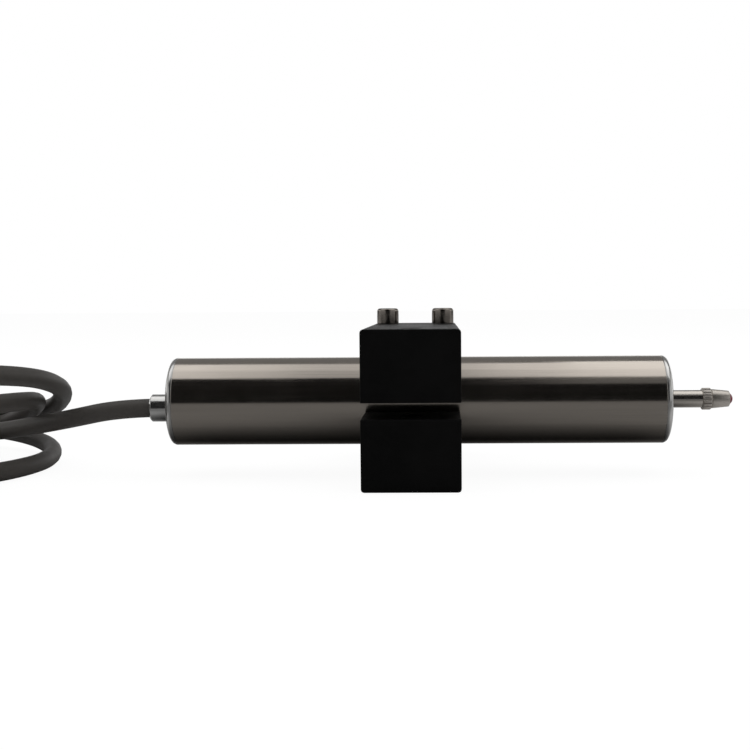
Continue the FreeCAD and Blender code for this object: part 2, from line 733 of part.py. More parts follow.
def make_clamp_block():
    """One block with the tube's bore, a slit through its front lip and three upright holes."""
    body = new_body("clamp_block")
    side = new_sketch(body, "block_side", "YZ_Plane")
    depth = "BlockFront + BlockRear"
    outline(side, [("0", "0"), (depth, "0"), (depth, "BlockHeight"), ("0", "BlockHeight")])
    pad = body.newObject("PartDesign::Pad", "block_pad")
    pad.Profile = side
    pad.SideType = "Symmetric"
    pad.setExpression("Length", bound("BlockWidth"))
    doc.recompute()
    rounds = body.newObject("PartDesign::Fillet", "block_rounds")
    rounds.Base = (pad, edges_where(pad.Shape, lambda edge: runs_along(edge, V(0, 1, 0))))
    rounds.setExpression("Radius", bound("BlockRound"))
    doc.recompute()
    ends = (0.0, value(depth))
    breaks = body.newObject("PartDesign::Chamfer", "block_breaks")
    breaks.Base = (rounds, edges_where(rounds.Shape, lambda edge: lies_across(edge, ends)))
    breaks.setExpression("Size", bound("BlockBreak"))
    doc.recompute()
    bore = new_sketch(body, "tube_bore", "YZ_Plane")
    circle(bore, "BlockFront", "AxisHeight", "TubeOuter / 2 + SlideGap")
    pocket(body, bore, "BlockWidth + 2 * BlockRound", both=True)
    slit = new_sketch(body, "front_slit", "YZ_Plane")
    low = "AxisHeight - SlitGap / 2"
    high = "AxisHeight + SlitGap / 2"
    outline(slit, [("0", low), ("BlockFront", low), ("BlockFront", high), ("0", high)])
    pocket(body, slit, "BlockWidth + 2 * BlockRound", both=True)
    lip = "(BlockFront - TubeOuter / 2 - SlideGap) / 2"
    holes = new_sketch(body, "clamp_screw_hole", "XY_Plane")
    circle(holes, "0", lip, "ClampHole / 2")
    pocket(body, holes, "BlockHeight", reverse=True)
    rear = new_sketch(body, "mounting_holes", "XY_Plane")
    circle(rear, "ScrewPitch / 2", "BlockFront + ScrewPlace", "ScrewHole / 2")
    circle(rear, "-ScrewPitch / 2", "BlockFront + ScrewPlace", "ScrewHole / 2")
    pocket(body, rear, "BlockHeight", reverse=True)
    place(body, "0", "-BlockFront", "0")
    return keep(body)


def make_screw(name, along):
    """A socket-head screw, drawn head up from the end of its shank."""
    body = new_body(name)
    profile = new_sketch(body, name + "_profile", "XZ_Plane")
    top = "ScrewLength + HeadHeight"
    outline(
        profile,
        [
            ("0", "0"),
            ("ScrewShank / 2", "0"),
            ("ScrewShank / 2", "ScrewLength"),
            ("HeadDiameter / 2", "ScrewLength"),
            ("HeadDiameter / 2", f"{top} - HeadChamfer"),
            ("HeadDiameter / 2 - HeadChamfer", top),
            ("0", top),
        ],
    )
    turn = body.newObject("PartDesign::Revolution", name + "_turned")
    turn.Profile = profile
    turn.ReferenceAxis = (profile, ["V_Axis"])
    turn.Angle = 360
    doc.recompute()
    socket = new_sketch(body, name + "_socket", "XY_Plane")
    corner = "SocketAcross / sqrt(3)"
    flat = "SocketAcross / 2"
    outline(
        socket,
        [
            ("0", corner),
            (flat, f"{corner} / 2"),
            (flat, f"-{corner} / 2"),
            ("0", f"-{corner}"),
            (f"-{flat}", f"-{corner} / 2"),
            (f"-{flat}", f"{corner} / 2"),
        ],
    )
    socket.setExpression("AttachmentOffset.Base.z", bound(f"{top} - SocketDepth"))
    pocket(body, socket, "SocketDepth + EdgeBreak", reverse=True)
    place(body, along, "ScrewPlace", "BlockHeight - ScrewLength")
    return body


def make_mounting_screws():
    """The two identical screws that hold the block down, as one group."""
    group = doc.addObject("Part::Compound", "mounting_screws")
    group.Label = "mounting_screws"
    group.Links = [
        make_screw("left_screw", "-ScrewPitch / 2"),
        make_screw("right_screw", "ScrewPitch / 2"),
    ]
    return keep(group)


# The free cable

# Where the cable runs from the ferrule's mouth into the coil, chosen by hand
LEAD_ROUTE = [(-68.6, 0.0, 15.5), (-79.6, 2.0, 13.6)]
# Where the jacket ends, just inside the coil's inner wall, and the way it points, chosen by hand
JACKET_END = (-164.9, -5.0, 2.15)
JACKET_WAY = (0.91, -0.42, 0.0)
# Each bare lead's two ends, as (forward, sideways, up) from the end of the jacket, chosen by hand
LEAD_FANS = [
    ((0.0, -0.85, 0.8), (12.0, -5.4, -1.1)),
    ((0.0, -0.75, -0.75), (12.5, -2.0, -1.4)),
    ((0.0, 0.75, -0.75), (12.5, 1.8, -1.4)),
    ((0.0, 0.85, 0.8), (11.5, 5.2, -1.1)),
]
ARC_SHARE = 0.45


def path_of(points):
    """Straight runs joined by the largest tangent arcs that their runs allow, and the arcs' radii."""
    spots = [V(*point) for point in points]
    edges = []
    radii = []
    start = spots[0]
    for before, corner, after in zip(spots, spots[1:], spots[2:]):
        back = (before - corner).normalize()
        ahead = (after - corner).normalize()
        turn = math.pi - back.getAngle(ahead)
        reach = ARC_SHARE * min((before - corner).Length, (after - corner).Length)
        radius = reach / math.tan(turn / 2)
        first = corner + back * reach
        last = corner + ahead * reach
        toward = (back + ahead).normalize()
        middle = corner + toward * (math.hypot(radius, reach) - radius)
        edges.append(Part.LineSegment(start, first).toShape())
        edges.append(Part.Arc(first, middle, last).toShape())
        radii.append(radius)
        start = last
    edges.append(Part.LineSegment(start, spots[-1]).toShape())
    return Part.Wire(edges), radii


def tube_along(points, diameter):
    """A round tube along a route, whose volume is compared with its section times its length."""
    path, radii = path_of(points)
    heading = V(*points[1]) - V(*points[0])
    ring = Part.Wire([Part.makeCircle(diameter / 2, V(*points[0]), heading)])
    solid = path.makePipeShell([ring], True, True)
    expected = math.pi * diameter**2 / 4 * path.Length
    if abs(solid.Volume / expected - 1) > 0.01:
        raise RuntimeError("a cable's tube doesn't have the volume of its section times its length")
    print("tube", round(path.Length, 1), "mm long, radii", [round(radius, 1) for radius in radii])
    return solid


def soft_piece(name, shape):
    """A sub-part whose shape is worked out from the sheet by Part's own functions."""
    item = doc.addObject("Part::Feature", name)
    item.Label = name
    item.Shape = shape
    return keep(item)


def make_cable_lead():
    """The stretch from the ferrule into the coil."""
    mouth = (value(FERRULE_MOUTH), 0.0, value(CABLE_HEIGHT))
    return soft_piece("cable_lead", tube_along([mouth] + LEAD_ROUTE, value("CableDiameter")))


def make_cable_coil():
    """The outer shape of the loose coil: a ring that stands higher at its near side."""
    outer, inner = value("CoilOuterReach"), value("CoilInnerReach")
    near, far = value("CoilNearTop"), value("CoilFarTop")
    corner = value("CoilCorner")
    section = [(inner, 0), (outer, 0), (outer, near - corner), (outer - corner, near), (inner, near)]
    rim = Part.makePolygon([V(across, 0, up) for across, up in section + section[:1]])
    ring = Part.Face(rim).revolve(V(0, 0, 0), V(0, 0, 1), 360)
    slope = math.degrees(math.atan2(near - far, 2 * outer))
    above = Part.makeBox(4 * outer, 4 * outer, 2 * near, V(-2 * outer, 0, 0))
    above.Placement = FreeCAD.Placement(V(0, -outer, near), FreeCAD.Rotation(V(1, 0, 0), -slope))
    ring = ring.cut(above)
    ring.translate(V(value("CoilCentreAlong"), value("CoilCentreAcross"), 0))
    return soft_piece("cable_coil", ring)


def straight_wire(start, end, diameter):
    """A straight wire with a few flat sides from one point to another."""
    heading = (end - start).normalize()
    turn = FreeCAD.Rotation(V(0, 0, 1), heading)
    angles = [2 * math.pi * index / WIRE_SIDES for index in range(WIRE_SIDES)]
    rim = [turn.multVec(V(math.cos(angle), math.sin(angle), 0) * (diameter / 2)) + start for angle in angles]
    return Part.Face(Part.makePolygon(rim + rim[:1])).extrude(end - start)


def make_bare_leads():
    """Four insulated leads with thinner tinned ends, which fan out of the jacket's end."""
    end = V(*JACKET_END)
    forward = V(*JACKET_WAY).normalize()
    sideways = V(0, 0, 1).cross(forward)
    leads = []
    for fan in LEAD_FANS:
        start, stop = [end + forward * ahead + sideways * side + V(0, 0, up) for ahead, side, up in fan]
        tip = stop + (stop - start).normalize() * value("LeadTipLength")
        sheath = straight_wire(start, stop, value("LeadDiameter"))
        leads.append(sheath.fuse(straight_wire(start, tip, value("LeadTip"))).removeSplitter())
    return soft_piece("bare_leads", Part.makeCompound(leads))


def build():
    """Make every sub-part."""
    fill_sheet()
    make_body_tube()
    make_front_cap()
    make_rear_cap()
    make_wiper_seal()
    make_front_bushing()
    make_guide_sleeve()
    make_spring_seat()
    make_return_spring()
    make_coil_former()
    make_winding("rear_secondary", "CoilFlange", SECONDARY_WIDTH)
    make_winding("primary_winding", f"2 * CoilFlange + {SECONDARY_WIDTH}", "PrimaryWidth")
    make_winding("front_secondary", f"3 * CoilFlange + {SECONDARY_WIDTH} + PrimaryWidth", SECONDARY_WIDTH)
    make_shield_tube()
    make_rear_spacer()
    make_circuit_board()
    make_board_parts()
    make_coil_leads()
    make_cable_cores()
    make_cable_ferrule()
    make_cable_grommet()
    make_cable_crimp()
    make_cable_entry()
    make_probe_rod()
    make_guide_pin()
    make_contact_tip()
    make_ruby_ball()
    make_core_rod()
    make_magnetic_core()
    make_core_nut()
    make_clamp_block()
    make_mounting_screws()
    make_cable_lead()
    make_cable_coil()
    make_bare_leads()
    doc.recompute()


def check():
    """Stop if any object failed, or if a sub-part's shape is empty or not valid."""
    for item in doc.Objects:
        if "Invalid" in item.State or "Error" in item.State:
            raise RuntimeError(f"{item.Label} failed: {item.State}")
    for item in pieces:
        if item.Shape.isNull() or not item.Shape.isValid() or not item.Shape.Solids:
            raise RuntimeError(f"{item.Label} has no valid solid")


def export():
    """Write each sub-part to a file of its own."""
    os.makedirs("parts", exist_ok=True)
    for item in pieces:
        item.Shape.exportStep(f"parts/{item.Label}.step")
    print(len(pieces), "sub-parts written")


build()
check()
export()
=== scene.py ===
"""LVDT displacement sensor in its clamp block, with its cable, dressed for rendering."""

import math

import bmesh
import bpy
from bpy.props import FloatProperty, FloatVectorProperty, IntProperty, PointerProperty
from mathutils import Matrix, Vector


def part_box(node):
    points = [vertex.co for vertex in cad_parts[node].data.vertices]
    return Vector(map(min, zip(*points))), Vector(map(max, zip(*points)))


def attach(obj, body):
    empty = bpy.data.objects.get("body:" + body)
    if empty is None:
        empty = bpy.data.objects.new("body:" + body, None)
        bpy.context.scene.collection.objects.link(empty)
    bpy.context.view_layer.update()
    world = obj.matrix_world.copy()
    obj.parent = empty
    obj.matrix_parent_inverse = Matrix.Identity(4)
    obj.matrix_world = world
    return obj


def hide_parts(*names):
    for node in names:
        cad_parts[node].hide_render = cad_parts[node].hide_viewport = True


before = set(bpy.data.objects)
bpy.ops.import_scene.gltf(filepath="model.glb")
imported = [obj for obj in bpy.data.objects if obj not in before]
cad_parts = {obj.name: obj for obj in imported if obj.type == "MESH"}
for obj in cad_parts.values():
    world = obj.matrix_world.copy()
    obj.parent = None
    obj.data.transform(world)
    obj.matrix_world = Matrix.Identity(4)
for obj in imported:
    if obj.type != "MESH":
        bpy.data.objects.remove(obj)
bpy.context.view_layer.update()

bl_info = {
    "name": "LVDT displacement sensor",
    "version": (1, 0, 0),
    "blender": (4, 5, 0),
    "location": "View3D > Sidebar > Sensor",
    "description": "Dresses a spring-loaded displacement sensor, its clamp block and its cable",
    "category": "Object",
}

MM = 0.001

# Places that come from the frame
TUBE_LOW, TUBE_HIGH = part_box("body_tube")
TUBE_REAR, TUBE_FRONT = TUBE_LOW.x, TUBE_HIGH.x
TUBE_RADIUS = (TUBE_HIGH.z - TUBE_LOW.z) / 2
AXIS_HEIGHT = (TUBE_HIGH.z + TUBE_LOW.z) / 2
CAP_LOW, CAP_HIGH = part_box("front_cap")
REAR_CAP_LOW, REAR_CAP_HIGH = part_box("rear_cap")
FERRULE_LOW, FERRULE_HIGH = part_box("cable_ferrule")
CABLE_HEIGHT = (FERRULE_HIGH.z + FERRULE_LOW.z) / 2
TIP_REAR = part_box("contact_tip")[0].x
BLOCK_LOW, BLOCK_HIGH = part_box("clamp_block")
SCREWS_LOW, SCREWS_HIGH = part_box("mounting_screws")
SCREW_Y = (SCREWS_HIGH.y + SCREWS_LOW.y) / 2
SCREW_HEAD_RADIUS = 2.75 * MM

# The gap between pieces that touch, and how near two places are taken for one
SEAT_GAP = 0.05 * MM
CLOSE = 0.01 * MM

# Node helpers


class Tree:
    """A node tree, with short ways to add nodes, feed their sockets and do sums."""

    columns, column_width, row_height = 12, 220, 260

    def __init__(self, tree):
        self.tree = tree
        self.tree.nodes.clear()
        self.count = 0

    def add(self, kind, settings=None, sockets=None):
        node = self.tree.nodes.new(kind)
        row, column = divmod(self.count, self.columns)
        node.location = (column * self.column_width, -row * self.row_height)
        self.count += 1
        for name, value in (settings or {}).items():
            setattr(node, name, value)
        for name, value in (sockets or {}).items():
            self.feed(node.inputs[name], value)
        return node

    def feed(self, socket, value):
        if isinstance(value, bpy.types.NodeSocket):
            self.tree.links.new(value, socket)
        else:
            socket.default_value = value

    def math(self, operation, *values):
        """The result of a sum on values that are numbers or sockets."""
        node = self.add("ShaderNodeMath", {"operation": operation}, dict(enumerate(values)))
        return node.outputs[0]

    def span(self, value, low, high, bottom, top):
        """The value, stretched from low…high to bottom…top and kept between them."""
        sockets = {"Value": value, "From Min": low, "From Max": high, "To Min": bottom, "To Max": top}
        return self.add("ShaderNodeMapRange", {}, sockets).outputs["Result"]

    def ranged(self, mask, low, high):
        """A mask from 0 to 1 stretched to low…high."""
        return self.span(mask, 0.0, 1.0, low, high)

    def mix(self, factor, first, second):
        """A value that goes from first to second with factor."""
        sockets = {0: factor, 2: first, 3: second}
        return self.add("ShaderNodeMix", {"data_type": "FLOAT"}, sockets).outputs[0]

    def tint(self, factor, first, second):
        """A colour that goes from first to second with factor."""
        sockets = {"Factor": factor, 6: first, 7: second}
        return self.add("ShaderNodeMix", {"data_type": "RGBA"}, sockets).outputs[2]

    def distance(self, one, two):
        """How far a point at those two coordinates is from their origin."""
        squares = self.math("ADD", self.math("MULTIPLY", one, one), self.math("MULTIPLY", two, two))
        return self.math("SQRT", squares)

    def mirrored(self, path):
        """1 for a ray that a mirror or a clear body sends on, from the light path's outputs."""
        rays = self.math("ADD", path["Is Glossy Ray"], path["Is Transmission Ray"])
        return self.math("MINIMUM", rays, 1.0)

    def noise(self, vector, scale, detail, roughness):
        sockets = {"Vector": vector, "Scale": scale, "Detail": detail, "Roughness": roughness}
        return self.add("ShaderNodeTexNoise", {}, sockets).outputs[0]

    def parts(self, vector):
        node = self.add("ShaderNodeSeparateXYZ", {}, {0: vector})
        return node.outputs[0], node.outputs[1], node.outputs[2]

    def vector(self, x, y, z):
        return self.add("ShaderNodeCombineXYZ", {}, {0: x, 1: y, 2: z}).outputs[0]


def new_group(name, kind, inputs, outputs):
    """A node group with the named sockets, each input as (name, type, default)."""
    group = bpy.data.node_groups.new(name, kind)
    for label, socket_type, default in inputs:
        socket = group.interface.new_socket(name=label, in_out="INPUT", socket_type=socket_type)
        if default is not None:
            socket.default_value = default
    for label, socket_type in outputs:
        group.interface.new_socket(name=label, in_out="OUTPUT", socket_type=socket_type)
    tree = Tree(group)
    entry = tree.add("NodeGroupInput")
    leave = tree.add("NodeGroupOutput")
    return group, tree, entry, leave


def shared_group(name, inputs, build):
    """A shader group built once: build(tree, inputs) gives its outputs by name."""
    if name in bpy.data.node_groups:
        return bpy.data.node_groups[name]
    outputs = [("Mask", "NodeSocketFloat"), ("Height", "NodeSocketFloat")]
    group, tree, entry, leave = new_group(name, "ShaderNodeTree", inputs, outputs)
    for label, value in build(tree, entry.outputs).items():
        tree.feed(leave.inputs[label], value)
    return group


def shape_group(name, inputs):
    """A geometry nodes group that takes a shape and gives one back."""
    shape = ("Geometry", "NodeSocketGeometry")
    return new_group(name, "GeometryNodeTree", [(*shape, None)] + inputs, [shape])


def realized(tree, geometry, material):
    """The geometry as one real mesh in that material, which is how a tree ends."""
    real = tree.add("GeometryNodeRealizeInstances", {}, {"Geometry": geometry})
    sockets = {"Geometry": real.outputs[0], "Material": material}
    return tree.add("GeometryNodeSetMaterial", {}, sockets).outputs[0]


# Shared surface effects

VECTOR_INPUT = ("Vector", "NodeSocketVector", None)


def lengthwise_grain():
    """Fine marks drawn out along X, as on brushed stock."""

    def build(tree, given):
        x, y, z = tree.parts(given["Vector"])
        along = tree.math("MULTIPLY", x, given["Along"])
        spread = tree.vector(
            along,
            tree.math("MULTIPLY", y, given["Across"]),
            tree.math("MULTIPLY", z, given["Across"]),
        )
        fine = tree.noise(spread, 1.0, 4.0, 0.65)
        broad = tree.noise(spread, 0.22, 2.0, 0.5)
        both = tree.math("MULTIPLY_ADD", fine, 0.65, tree.math("MULTIPLY", broad, 0.35))
        return {"Mask": tree.span(both, 0.36, 0.64, 0.0, 1.0), "Height": both}

    inputs = [
        VECTOR_INPUT,
        ("Along", "NodeSocketFloat", 60.0),
        ("Across", "NodeSocketFloat", 5200.0),
    ]
    return shared_group("Lengthwise grain", inputs, build)


def turning_marks():
    """Lathe marks round the X axis: rings on a face, and hoops on a barrel."""

    def build(tree, given):
        x, y, z = tree.parts(given["Vector"])
        way = tree.math("ADD", x, tree.distance(y, z))
        step = tree.math("MULTIPLY", way, given["Pitch"])
        sockets = {"W": step, "Scale": 1.0, "Detail": 3.0, "Roughness": 0.6}
        marks = tree.add("ShaderNodeTexNoise", {"noise_dimensions": "1D"}, sockets).outputs[0]
        return {"Mask": tree.span(marks, 0.35, 0.65, 0.0, 1.0), "Height": marks}

    inputs = [VECTOR_INPUT, ("Pitch", "NodeSocketFloat", 9000.0)]
    return shared_group("Turning marks", inputs, build)


def handling():
    """Soft patches where hands and cloths have been."""

    def build(tree, given):
        cloud = tree.noise(given["Vector"], given["Scale"], 3.0, 0.55)
        streak = tree.noise(given["Vector"], tree.math("MULTIPLY", given["Scale"], 4.0), 2.0, 0.5)
        both = tree.math("MULTIPLY_ADD", cloud, 0.75, tree.math("MULTIPLY", streak, 0.25))
        return {"Mask": tree.span(both, 0.42, 0.62, 0.0, 1.0), "Height": both}

    return shared_group("Handling", [VECTOR_INPUT, ("Scale", "NodeSocketFloat", 90.0)], build)


def fine_grain():
    """The tiny pits of a blasted, moulded or sawn surface."""

    def build(tree, given):
        pits = tree.noise(given["Vector"], given["Scale"], 3.0, 0.6)
        specks = tree.noise(given["Vector"], tree.math("MULTIPLY", given["Scale"], 0.31), 1.0, 0.5)
        both = tree.math("MULTIPLY_ADD", pits, 0.7, tree.math("MULTIPLY", specks, 0.3))
        return {"Mask": tree.span(both, 0.4, 0.62, 0.0, 1.0), "Height": both}

    return shared_group("Fine grain", [VECTOR_INPUT, ("Scale", "NodeSocketFloat", 6000.0)], build)


class Finish(Tree):
    """A material with one Principled BSDF, whose fixed values stand on its own sockets."""

    def __init__(self, name, fixed):
        self.material = bpy.data.materials.new(name)
        self.material.use_nodes = True
        super().__init__(self.material.node_tree)
        self.shader = self.add("ShaderNodeBsdfPrincipled", {}, fixed)
        self.place = self.add("ShaderNodeTexCoord").outputs["Object"]
        self.add("ShaderNodeOutputMaterial", {}, {"Surface": self.shader.outputs[0]})

    def centred(self, x, y, z):
        """Object coordinates whose origin is at that point."""
        sockets = {"Vector": self.place, "Location": (-x, -y, -z)}
        return self.add("ShaderNodeMapping", {}, sockets).outputs[0]

    def group(self, group, **sockets):
        """A shared effect's mask and height."""
        node = self.add("ShaderNodeGroup", {"node_tree": group}, sockets)
        return node.outputs["Mask"], node.outputs["Height"]

    def shades(self, mask, colour, dark, light):
        """The colour times dark to times light, with the mask."""
        return self.tint(mask, shade(colour, dark), shade(colour, light))

    def worn(self, mask, low, high, hands, wear):
        """Roughness from low to high with the mask, and more by wear where hands have been."""
        return self.math("MULTIPLY_ADD", hands, wear, self.ranged(mask, low, high))

    def colour(self, value):
        self.feed(self.shader.inputs["Base Color"], value)

    def roughness(self, value):
        self.feed(self.shader.inputs["Roughness"], value)

    def bump(self, height, distance, strength=1.0):
        sockets = {"Height": height, "Distance": distance, "Strength": strength}
        self.feed(self.shader.inputs["Normal"], self.add("ShaderNodeBump", {}, sockets).outputs[0])


def shade(colour, factor):
    """The colour, lighter or darker by factor, with alpha."""
    return (*(min(1.0, part * factor) for part in colour[:3]), 1.0)


# Finishes


def brushed_stainless(colour):
    """Ground tube stock, bright, with fine marks along X."""
    look = Finish("brushed_stainless", {"Metallic": 1.0})
    centre = look.centred(0, 0, AXIS_HEIGHT)
    grain, height = look.group(lengthwise_grain(), Vector=centre, Along=55.0, Across=5200.0)
    hands, _ = look.group(handling(), Vector=centre, Scale=70.0)
    look.colour(look.shades(grain, colour, dark=0.93, light=1.05))
    look.roughness(look.worn(grain, 0.1, 0.17, hands, wear=0.035))
    look.bump(height, 0.004 * MM)
    return look.material


def turned_metal(name, colour, height, pitch, low, high, depth):
    """Metal turned round an axis along X at that height, rough from low to high."""
    look = Finish(name, {"Metallic": 1.0})
    centre = look.centred(0, 0, height)
    marks, relief = look.group(turning_marks(), Vector=centre, Pitch=pitch)
    hands, _ = look.group(handling(), Vector=centre, Scale=160.0)
    look.colour(look.shades(marks, colour, dark=0.94, light=1.04))
    look.roughness(look.worn(marks, low, high, hands, wear=0.05))
    look.bump(relief, depth)
    return look.material


def screw_steel(colour, half_pitch):
    """Plated steel with lathe marks round each of the two upright screws."""
    look = Finish("screw_steel", {"Metallic": 1.0})
    x, y, z = look.parts(look.place)
    across = look.math("SUBTRACT", look.math("ABSOLUTE", x), half_pitch)
    upright = look.vector(z, across, look.math("SUBTRACT", y, SCREW_Y))
    marks, relief = look.group(turning_marks(), Vector=upright, Pitch=6500.0)
    hands, _ = look.group(handling(), Vector=look.place, Scale=260.0)
    look.colour(look.shades(marks, colour, dark=0.95, light=1.04))
    look.roughness(look.worn(marks, 0.09, 0.15, hands, wear=0.06))
    look.bump(relief, 0.003 * MM)
    return look.material


def black_anodised(colour, hole_y, hole_radius):
    """Black oxide with a sheen, dull down the clamp-screw hole, with painted shade that darkens the
    hole.
    """
    look = Finish("black_anodised", {"Metallic": 0.0, "Specular IOR Level": 0.12})
    x, y, _ = look.parts(look.place)
    from_hole = look.vector(x, look.math("SUBTRACT", y, hole_y), 0.0)
    reach = look.add("ShaderNodeVectorMath", {"operation": "LENGTH"}, {0: from_hole}).outputs["Value"]
    hole = look.math("LESS_THAN", reach, hole_radius)
    grain, height = look.group(fine_grain(), Vector=look.place, Scale=5200.0)
    hands, _ = look.group(handling(), Vector=look.place, Scale=55.0)
    skin = look.shades(grain, colour, dark=0.75, light=1.35)
    face = look.tint(hands, skin, shade(colour, 1.5))
    # Painted shade: the clamp-screw hole's colour is darkened to a fifth of the block's colour.
    look.colour(look.tint(hole, face, shade(colour, 0.2)))
    outside = look.worn(grain, 0.38, 0.5, hands, wear=0.08)
    look.roughness(look.math("MULTIPLY_ADD", hole, 0.5, outside))
    look.bump(height, 0.006 * MM)
    return look.material


def ruby(colour):
    """Deep red synthetic ruby, nearly opaque, with a polish."""
    fixed = {"Transmission Weight": 0.15, "IOR": 1.76, "Specular IOR Level": 0.3, "Metallic": 0.0}
    look = Finish("ruby", fixed)
    hands, _ = look.group(handling(), Vector=look.place, Scale=900.0)
    look.colour(look.shades(hands, colour, dark=0.8, light=1.15))
    look.roughness(look.ranged(hands, 0.03, 0.08))
    return look.material


def smooth_plastic(name, colour, rough, scale=2600.0, depth=0.004 * MM, specular=0.5):
    """Moulded plastic or rubber with a fine skin."""
    look = Finish(name, {"Metallic": 0.0, "Specular IOR Level": specular})
    grain, height = look.group(fine_grain(), Vector=look.place, Scale=scale)
    hands, _ = look.group(handling(), Vector=look.place, Scale=80.0)
    skin = look.shades(grain, colour, dark=0.86, light=1.12)
    look.colour(look.tint(look.math("MULTIPLY", hands, 0.35), skin, shade(colour, 1.3)))
    look.roughness(look.worn(grain, rough - 0.05, rough + 0.05, hands, wear=0.07))
    look.bump(height, depth)
    return look.material


def wound_copper(colour):
    """Enamelled wire in close turns round the X axis, with painted shade in the creases between turns.
    """
    look = Finish("copper_windings", {"Metallic": 0.85})
    x, _, _ = look.parts(look.place)
    wire_radius = 0.12 * MM
    turn = look.math("PINGPONG", look.math("MULTIPLY", x, 1 / wire_radius), 1.0)
    wire_crown_and_painted_shade = look.math("SQRT", look.math("SUBTRACT", 1.0, look.math("POWER", turn, 2.0)))
    hands, _ = look.group(handling(), Vector=look.place, Scale=300.0)
    # Painted shade: each turn is darker towards the creases beside it, by its round profile; the same
    # profile is the bump.
    look.colour(look.shades(wire_crown_and_painted_shade, colour, dark=0.45, light=1.1))
    look.roughness(look.ranged(hands, 0.26, 0.4))
    look.bump(wire_crown_and_painted_shade, wire_radius / 2)
    return look.material


def printed_board(colour):
    """Solder mask over copper tracks that run along X."""
    look = Finish("board_green", {"Metallic": 0.0, "Coat Weight": 0.3, "Coat Roughness": 0.15})
    _, y, _ = look.parts(look.place)
    track_pitch = 0.9 * MM
    lane = look.math("PINGPONG", look.math("MULTIPLY", y, 1 / track_pitch), 0.5)
    track = look.math("GREATER_THAN", lane, 0.3)
    grain, _ = look.group(fine_grain(), Vector=look.place, Scale=1800.0)
    face = look.shades(track, colour, dark=0.85, light=1.5)
    look.colour(look.tint(look.math("MULTIPLY", grain, 0.2), face, shade(colour, 0.6)))
    look.roughness(look.ranged(grain, 0.32, 0.42))
    look.bump(track, 0.03 * MM)
    return look.material


def wire_colours(name, spacing, colours, rough):
    """Insulation whose colour goes with the wire's place across Y."""
    look = Finish(name, {"Metallic": 0.0})
    _, y, _ = look.parts(look.place)
    grain, height = look.group(fine_grain(), Vector=look.place, Scale=3000.0)
    colour = shade(colours[0], 1.0)
    for step, later in enumerate(colours[1:]):
        edge = (step + 1 - len(colours) / 2) * spacing
        colour = look.tint(look.math("GREATER_THAN", y, edge), colour, shade(later, 1.0))
    look.colour(look.tint(look.math("MULTIPLY", grain, 0.15), colour, (0.02, 0.02, 0.02, 1.0)))
    look.roughness(look.ranged(grain, rough, rough + 0.1))
    look.bump(height, 0.003 * MM)
    return look.material


def lead_finish():
    """The stripped leads: each lead's colour, and tin at its end, come from the mesh."""
    look = Finish("lead_insulation", {})
    paint = look.add("ShaderNodeAttribute", {"attribute_name": "lead_colour"})
    grain, height = look.group(fine_grain(), Vector=look.place, Scale=2600.0)
    insulated = paint.outputs["Alpha"]
    dust = look.math("MULTIPLY", grain, 0.2)
    look.colour(look.tint(dust, paint.outputs["Color"], (0.1, 0.1, 0.1, 1.0)))
    look.roughness(look.ranged(grain, 0.34, 0.46))
    look.feed(look.shader.inputs["Metallic"], look.math("SUBTRACT", 1.0, insulated))
    look.bump(height, 0.004 * MM)
    return look.material


# Mesh helpers


def add_piece(name, mesh, body, slot, material, *nodes):
    """A finished piece that rides on its body and stands for the CAD nodes."""
    piece = bpy.data.objects.new(name, mesh)
    bpy.context.scene.collection.objects.link(piece)
    declare(piece, body, slot, material, *nodes)
    return piece


def declare(piece, body, slot, material, *nodes):
    """Gives a piece its material, its body and the CAD nodes it stands for; its slot's name is not
    used.
    """
    piece.data.materials.clear()
    piece.data.materials.append(material)
    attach(piece, body)
    if nodes:
        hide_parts(*nodes)


def plain_mesh(piece):
    """Replaces the piece's mesh by what its modifiers make of it."""
    depsgraph = bpy.context.evaluated_depsgraph_get()
    seen = piece.evaluated_get(depsgraph)
    mesh = bpy.data.meshes.new_from_object(seen, preserve_all_data_layers=True, depsgraph=depsgraph)
    piece.modifiers.clear()
    piece.data = mesh
    return mesh


def lathe(rings, closed=True, sides=144):
    """A mesh from rings: each is (place along X, radius or a radius for an angle)."""
    mesh = bmesh.new()
    rows = []
    for along, radius in rings:
        if radius == 0:
            rows.append([mesh.verts.new((along, 0, 0))])
            continue
        row = []
        for step in range(sides):
            angle = 2 * math.pi * step / sides
            reach = radius(angle) if callable(radius) else radius
            row.append(mesh.verts.new((along, reach * math.sin(angle), reach * math.cos(angle))))
        rows.append(row)
    for one, two in zip(rows, rows[1:] + rows[:1] if closed else rows[1:]):
        if len(one) == 1 and len(two) == 1:
            continue
        for step in range(sides):
            after = (step + 1) % sides
            if len(one) == 1:
                mesh.faces.new((one[0], two[step], two[after]))
            elif len(two) == 1:
                mesh.faces.new((one[step], two[0], one[after]))
            else:
                mesh.faces.new((one[step], two[step], two[after], one[after]))
    bmesh.ops.recalc_face_normals(mesh, faces=mesh.faces)
    return mesh


def to_mesh(shape, name):
    """The bmesh as a mesh of that name."""
    mesh = bpy.data.meshes.new(name)
    shape.to_mesh(mesh)
    shape.free()
    return mesh


def softened(mesh, width):
    """The mesh with its sharp edges rounded, and normals that keep its flats flat."""
    holder = bpy.data.objects.new("holder", mesh)
    bpy.context.scene.collection.objects.link(holder)
    for face in mesh.polygons:
        face.use_smooth = True
    if width:
        bevel = holder.modifiers.new("Round", "BEVEL")
        bevel.width = width
        bevel.segments = 2
        bevel.limit_method = "ANGLE"
        bevel.angle_limit = math.radians(28)
        bevel.use_clamp_overlap = True
    normals = holder.modifiers.new("Normals", "WEIGHTED_NORMAL")
    normals.keep_sharp = True
    normals.weight = 60
    result = plain_mesh(holder)
    result.name = mesh.name
    bpy.data.objects.remove(holder)
    return result


def raised(mesh, height):
    """The mesh moved up from the X axis to that height."""
    mesh.transform(Matrix.Translation((0, 0, height)))
    return mesh


